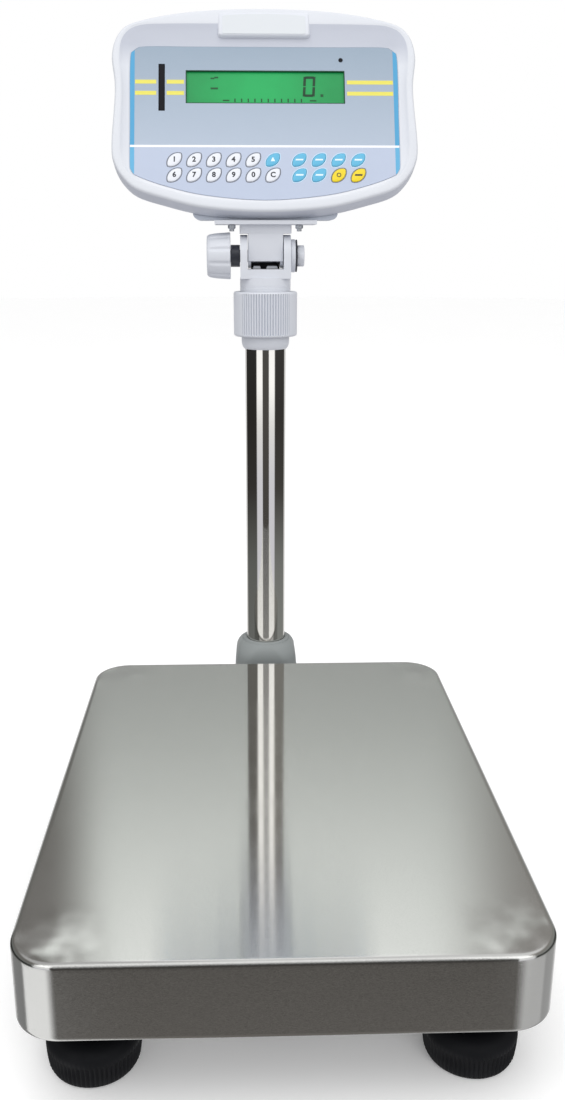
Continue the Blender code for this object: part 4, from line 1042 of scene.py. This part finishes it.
def display():
    """The display: a sunk tray whose ground is lit, with dark segments lying on it; its walls are dark green,
    painted shade.
    """
    left, bottom, right, top = DISPLAY
    rim, floor, back = 0.0004, FACE_Y + 0.0011, FACE_Y + 0.0022
    front = PANEL_FRONT + 0.0001

    def level(step, depth):
        return [(x, depth, z) for x, z in bar(left + step, bottom + step, right - step, top - step)]

    mesh = loft([level(0.0, back), level(0.0, front), level(rim, front), level(rim, floor)])
    for polygon in mesh.polygons:
        if all(abs(mesh.vertices[corner].co.y - floor) < 1e-6 for corner in polygon.vertices):
            polygon.material_index = 1
    # Walls and rim: dark green painted shade; the ground: lit.
    skins = (GREEN_EDGE_SHADE, GREEN)
    piece("display_tray", mesh, skins, "head", "display_green", IN_HEAD, ("display_window",))

    x0, x1, z0, z1, width, lean, gap = 0.0316, 0.0416, 0.1236, 0.1418, 0.0022, 0.0010, 0.0004
    middle = (z0 + z1) / 2
    half_lean = lean / 2
    segments = [
        [bar(x0 + width * 0.7, z0, x1 - width * 0.7, z0 + width, 0.0001)],
        [bar(x0 + lean + width * 0.7, z1 - width, x1 + lean - width * 0.7, z1, 0.0001)],
        [bar(x0, z0 + gap, x0 + width, middle - gap, half_lean)],
        [bar(x1 - width, z0 + gap, x1, middle - gap, half_lean)],
        [bar(x0 + half_lean, middle + gap, x0 + half_lean + width, z1 - gap, half_lean)],
        [bar(x1 - width + half_lean, middle + gap, x1 + half_lean, z1 - gap, half_lean)],
    ]
    proud = 0.00002
    on_face("display_digit", segments, SEGMENT, "display_green", floor - proud)
    starts = [-0.0250 + 0.0055 * step for step in range(11)]
    marks = [[bar(start, 0.1187, start + 0.0011, 0.1219)] for start in starts]
    marks += [[bar(-0.0345, 0.1196, -0.0290, 0.1208)], [bar(0.0375, 0.1196, 0.0430, 0.1208)]]
    marks += [[bar(-0.0445, 0.1300, -0.0384, 0.1316)], [bar(-0.0446, 0.1390, -0.0414, 0.1403)]]
    marks += [[bar(-0.0414, 0.1397, -0.0382, 0.1411)], [bar(0.0464, 0.1236, 0.0488, 0.1260)]]
    on_face("display_marks", marks, SEGMENT_PALE, "display_green", floor - proud)
    softened("light_bar_window", BLACK_SMOOTH, "head", "dark_plastic", 0.0003)


def key_finish(name):
    """The film, legend and slot of a key."""
    if name in ("zero", "tare"):
        return KEY_YELLOW, LEGEND_DARK, "key_yellow"
    if name in ("import", "low", "high", "percent", "count", "unit", "print"):
        return KEY_BLUE, LEGEND_PALE, "key_blue"
    return KEY_WHITE, LEGEND_DARK, "key_white"


def legend(name):
    """A key's legend: its digit, or a plain generic mark, as a flat outline round the origin."""
    if name in "0123456789" or name == "clear":
        text = bpy.data.curves.new("legend", "FONT")
        text.body = "C" if name == "clear" else name
        text.size = 0.0061
        text.align_x = "CENTER"
        text.align_y = "CENTER"
        text.offset = 0.00022
        text.extrude = PRINT_THICKNESS / 2
        text.resolution_u = 4
        return solid_of(text)
    if name == "zero":
        return flat_solid([circle(0.0019, 28), circle(0.0012, 28)], PRINT_THICKNESS)
    if name == "import":
        arrow = [(-0.0018, -0.0014), (0.0018, -0.0014), (0.0004, 0.0018), (-0.0004, 0.0018)]
        return flat_solid([arrow], PRINT_THICKNESS)
    return flat_solid([bar(-0.0032, -0.0007, 0.0030, 0.0007, 0.0004)], PRINT_THICKNESS)


def keys():
    """Twenty domed keys with their legends."""
    top = FACE_Y - 0.0014
    rings = [
        head_ring(slanted_ellipse(grow), depth) for grow, depth in (
            (0.0, FACE_Y + 0.0014), (0.0, top + 0.00065), (-0.00012, top + 0.00040),
            (-0.00045, top + 0.00020), (-0.0011, top + 0.00009), (-0.0024, top + 0.00003),
        )
    ]
    for name, across, height in key_places():
        film, ink, slot = key_finish(name)
        sign = moved(legend(name), Matrix.Translation((0.0, top + 0.00002, 0.0)) @ UPRIGHT)
        mesh = merged([loft(rings), sign], [0, 1])
        place = IN_HEAD @ Matrix.Translation((across, 0.0, height))
        piece("keytop_" + name, mesh, (film, ink), "key_" + name, slot, place, ("key_" + name,), 40)


def connectors():
    """The power inlet with its pin, and the serial port's shell with its face and sockets."""
    softened("power_inlet", BLACK_SMOOTH, "head", "dark_plastic", 0.0004)
    softened("serial_port", ZINC, "head", "zinc_steel", 0.0003, 2)
    low, high, height = -0.0510, -0.0190, 0.0720
    face = rounded_rectangle((high - low) / 2 - 0.0030, 0.0042, 0.0020, 6)
    mesh = moved(flat_solid([face], 0.0004), UPRIGHT)
    place = IN_HEAD @ Matrix.Translation(((low + high) / 2, 0.0362, height))
    piece("port_face", mesh, BLACK_SMOOTH, "head", "dark_plastic", place)
    pitch = 0.00277
    backwards = Matrix.Rotation(-math.pi / 2, 4, "X")
    profile = ((0.0, 0.0006), (0.0004, 0.0006), (0.0005, 0.0004), (0.0005, 0.0), (0.0, 0.0))
    pins = []
    for row, count in ((0.0013, 5), (-0.0013, 4)):
        for number in range(count):
            shift = (number - (count - 1) / 2) * pitch
            pins.append(moved(lathe(profile, 12), Matrix.Translation((shift, 0.0, row)) @ backwards))
    place = IN_HEAD @ Matrix.Translation(((low + high) / 2, 0.0364, height))
    piece("port_pins", merged(pins), ZINC, "head", "zinc_steel", place)


def head():
    bracket = softened("head_bracket", NECK, "head", "neck_grey", 0.0008)
    for vertex in bracket.data.vertices:
        reach = vertex.co - PIVOT
        if reach.z < -0.001:
            vertex.co.y = PIVOT.y + reach.y * TONGUE_SHRINK
            vertex.co.z = PIVOT.z + reach.z * TONGUE_SHRINK
    for side in ("left", "right"):
        softened("bracket_screw_" + side, DULL_ZINC, "head", "zinc_steel", 0.0003, 2)
    front_case()
    rear_case()
    brow_tab()
    panel()
    display()
    keys()
    connectors()
    inside = {"display_module": BLACK_SMOOTH, "main_board": BOARD, "battery": CELL_WRAP}
    for node, material in inside.items():
        cad = frame["nodes"][node]
        cad.data.materials.clear()
        cad.data.materials.append(material)


# ---------------------------------------------------------------- studio

NEUTRAL, WARM = (1.0, 1.0, 1.0), (1.0, 0.94, 0.88)
COOL, LILAC = (0.96, 1.0, 0.96), (0.92, 0.92, 1.0)
BLACK, WHITE = (0.0, 0.0, 0.0), (1.0, 1.0, 1.0)
BRIGHTEST = 2.0
# What each part of the studio gives at heights from -1, straight down, to 1, straight up
SIDE_LEVELS = (
    (-1.0, 0.45, NEUTRAL), (-0.56, 0.42, NEUTRAL), (-0.40, 0.26, COOL), (-0.30, 0.20, COOL),
    (-0.23, 0.06, WARM), (-0.16, 0.04, WARM), (0.05, 0.06, NEUTRAL), (0.18, 0.32, COOL),
    (0.60, 0.30, WARM), (0.80, 0.90, NEUTRAL), (1.0, 0.90, NEUTRAL),
)
PANEL_LEVELS = (
    (-1.0, 1.10, NEUTRAL), (-0.56, 1.10, NEUTRAL), (-0.42, 0.80, NEUTRAL), (-0.30, 0.74, LILAC),
    (-0.22, 0.78, LILAC), (-0.17, 0.85, NEUTRAL), (-0.13, 1.20, NEUTRAL), (0.20, 0.85, NEUTRAL),
    (0.28, 0.85, NEUTRAL), (0.40, 1.70, NEUTRAL), (0.70, 1.75, NEUTRAL), (1.0, 0.90, NEUTRAL),
)
FRONT_LEVELS = (
    (-1.0, 0.20, WARM), (-0.69, 0.19, WARM), (-0.62, 0.13, WARM), (-0.50, 0.08, WARM),
    (-0.40, 0.06, WARM), (-0.13, 0.08, WARM), (0.22, 0.10, NEUTRAL), (0.42, 0.50, NEUTRAL),
    (0.70, 0.80, NEUTRAL), (0.82, 1.40, NEUTRAL), (1.0, 0.90, NEUTRAL),
)
BACK_LEVELS = (
    (-1.0, 0.60, NEUTRAL), (-0.30, 0.75, NEUTRAL), (0.20, 0.55, NEUTRAL), (0.34, 0.34, COOL),
    (0.42, 0.42, COOL), (0.50, 0.74, COOL), (0.60, 1.15, COOL), (0.70, 1.35, NEUTRAL),
    (1.0, 0.90, NEUTRAL),
)
DIFFUSE_LEVELS = (
    (-1.0, 0.64, LILAC), (-0.60, 0.67, LILAC), (-0.10, 0.74, NEUTRAL), (0.50, 0.89, NEUTRAL),
)
# The band of directions, by their height from -1 to 1, where the low part of the studio begins
LOW_DOWN, LOW_UP = -0.56, -0.44
# Where the panels and the backdrop start and end, in degrees from straight ahead and straight behind
PANEL_INNER, PANEL_OUTER, PANEL_INNER_LOW, FRONT_END = (15, 20), (49, 57), (8, 36), (36, 40)
PANEL_WIDER_LOW, PANEL_LATER_LOW = 40, 9
BACK_LEFT, BACK_RIGHT, BACK_WIDER_LOW = (-12.5, -8.5), (12, 19), 30
LEFT_DIM, LOW_RIGHT_DIM = 0.35, 0.45


def studio_world():
    """Soft light all round. What shiny surfaces see: two tall front panels, and a bright rear."""
    world = bpy.data.worlds.new("studio")
    bpy.context.scene.world = world
    world.use_nodes = True
    nodes = Nodes(world.node_tree)
    nodes.tree.nodes.clear()
    compute, blend = nodes.math, nodes.mixed

    def step(value, start, end, low=0.0, high=1.0):
        return nodes.ramped(value, low, high, start, end, "SMOOTHSTEP")

    def within(angle, limits, low=0.0, high=1.0):
        return step(angle, *(math.radians(limit) for limit in limits), low, high)

    def shades(stops):
        made = nodes.add("ShaderNodeValToRGB")
        ramp = made.color_ramp
        while len(ramp.elements) < len(stops):
            ramp.elements.new(1.0)
        for element, (level_z, level, tint) in zip(ramp.elements, stops):
            element.position = (level_z + 1) / 2
            element.color = tuple(level / BRIGHTEST * channel for channel in tint) + (1.0,)
        nodes.link(height, made.inputs["Fac"])
        return made.outputs["Color"]

    x, y, z = nodes.split(nodes.add("ShaderNodeTexCoord").outputs["Generated"])
    height = compute("MULTIPLY", compute("ADD", z, 1.0), 0.5)
    from_back = compute("ARCTAN2", x, y)
    from_front = compute("ABSOLUTE", compute("ARCTAN2", x, compute("MULTIPLY", y, -1.0)))
    wider = step(z, LOW_DOWN, LOW_UP, math.radians(PANEL_WIDER_LOW), 0.0)
    outer = compute("SUBTRACT", from_front, wider)
    low = step(z, LOW_DOWN, LOW_UP, 1.0, 0.0)
    low_right = compute("MULTIPLY", low, step(x, -0.05, 0.05))
    later = compute("MULTIPLY", low_right, math.radians(PANEL_LATER_LOW))
    from_front = compute("SUBTRACT", from_front, later)
    sharp, soft = within(from_front, PANEL_INNER), within(from_front, PANEL_INNER_LOW)
    inner = compute(
        "ADD", compute("MULTIPLY", sharp, compute("SUBTRACT", 1.0, low)), compute("MULTIPLY", soft, low)
    )
    panels = compute("MULTIPLY", inner, within(outer, PANEL_OUTER, 1.0, 0.0))
    middle = compute("SUBTRACT", 1.0, inner)
    middle = compute("MULTIPLY", middle, within(from_front, FRONT_END, 1.0, 0.0))
    open_low = step(z, 0.05, 0.30, math.radians(BACK_WIDER_LOW), 0.0)
    on_right = within(compute("SUBTRACT", from_back, open_low), BACK_RIGHT, 1.0, 0.0)
    backdrop = compute("MULTIPLY", on_right, within(compute("ADD", from_back, open_low), BACK_LEFT))
    on_left = step(x, -0.3, 0.3, 1.0, 0.0)
    side_light = blend(compute("MULTIPLY", on_left, LEFT_DIM), shades(SIDE_LEVELS), BLACK)
    panel_light = blend(compute("MULTIPLY", low_right, LOW_RIGHT_DIM), shades(PANEL_LEVELS), BLACK)
    glossy = blend(panels, side_light, panel_light)
    glossy = blend(middle, glossy, shades(FRONT_LEVELS))
    glossy = nodes.stretched(blend(backdrop, glossy, shades(BACK_LEVELS)), BRIGHTEST)
    diffuse = nodes.stretched(shades(DIFFUSE_LEVELS), BRIGHTEST)
    path = nodes.add("ShaderNodeLightPath").outputs
    choice = blend(path["Is Glossy Ray"], diffuse, glossy)
    choice = blend(path["Is Camera Ray"], choice, WHITE)
    background = nodes.add("ShaderNodeBackground")
    nodes.link(choice, background.inputs["Color"])
    output = nodes.add("ShaderNodeOutputWorld")
    nodes.link(background.outputs["Background"], output.inputs["Surface"])


def studio_floor():
    work = bmesh.new()
    bmesh.ops.create_circle(work, cap_ends=True, segments=96, radius=9.0)
    mesh = bpy.data.meshes.new("floor")
    work.to_mesh(mesh)
    work.free()
    nodes = Surface("floor_paper")
    speck = nodes.noise(nodes.object_coordinates(), 3.0)
    tone = nodes.mixed(speck, srgb(247, 247, 247), srgb(250, 250, 250))
    nodes.look(Base_Color=tone, Roughness=0.9, Specular_IOR_Level=0.1)
    nodes.look(Emission_Color=(*WHITE, 1.0), Emission_Strength=0.16)
    mesh.materials.append(nodes.material)
    floor = bpy.data.objects.new("floor", mesh)
    bpy.context.scene.collection.objects.link(floor)
    floor.location = (0.0, 0.0, -0.0002)
    floor.visible_glossy = False
    floor.visible_diffuse = False


def area_light(name, place, target, size, power):
    light = bpy.data.lights.new(name, "AREA")
    light.size = size
    light.energy = power
    made = bpy.data.objects.new(name, light)
    bpy.context.scene.collection.objects.link(made)
    made.location = place
    made.rotation_euler = (Vector(target) - Vector(place)).to_track_quat("-Z", "Y").to_euler()
    made.visible_glossy = False


def studio():
    studio_world()
    studio_floor()
    area_light("overhead", (-0.4, -0.6, 2.2), (0.0, 0.0, 0.2), 1.8, 16.0)
    area_light("front_fill", (0.9, -2.0, 1.2), (0.0, 0.0, 0.35), 1.2, 9.0)


FOCAL_LENGTH, SIDE_SHIFT = 33.359, 0.01136
CAMERA_OFFSET = (-0.0221, 0.4498, 0.3600)
LOOK_DOWN, LOOK_RIGHT = 16.657, 1.668


def camera():
    """Stands above and a little left of the pan's front edge, and looks down at the scale."""
    lens = bpy.data.cameras.new("view")
    lens.lens = FOCAL_LENGTH
    lens.sensor_width = 36.0
    lens.shift_x = SIDE_SHIFT
    lens.clip_start = 0.01
    made = bpy.data.objects.new("view", lens)
    bpy.context.scene.collection.objects.link(made)
    aside, ahead, above = CAMERA_OFFSET
    made.location = (aside, PAN_LOW.y - ahead, PAN_HIGH.z + above)
    made.rotation_euler = (math.radians(90 - LOOK_DOWN), 0.0, math.radians(-LOOK_RIGHT))
    bpy.context.scene.camera = made


camera()
platform()
column()
tilt_clamp()
head()
studio()
bpy.context.scene.view_settings.view_transform = "Standard"
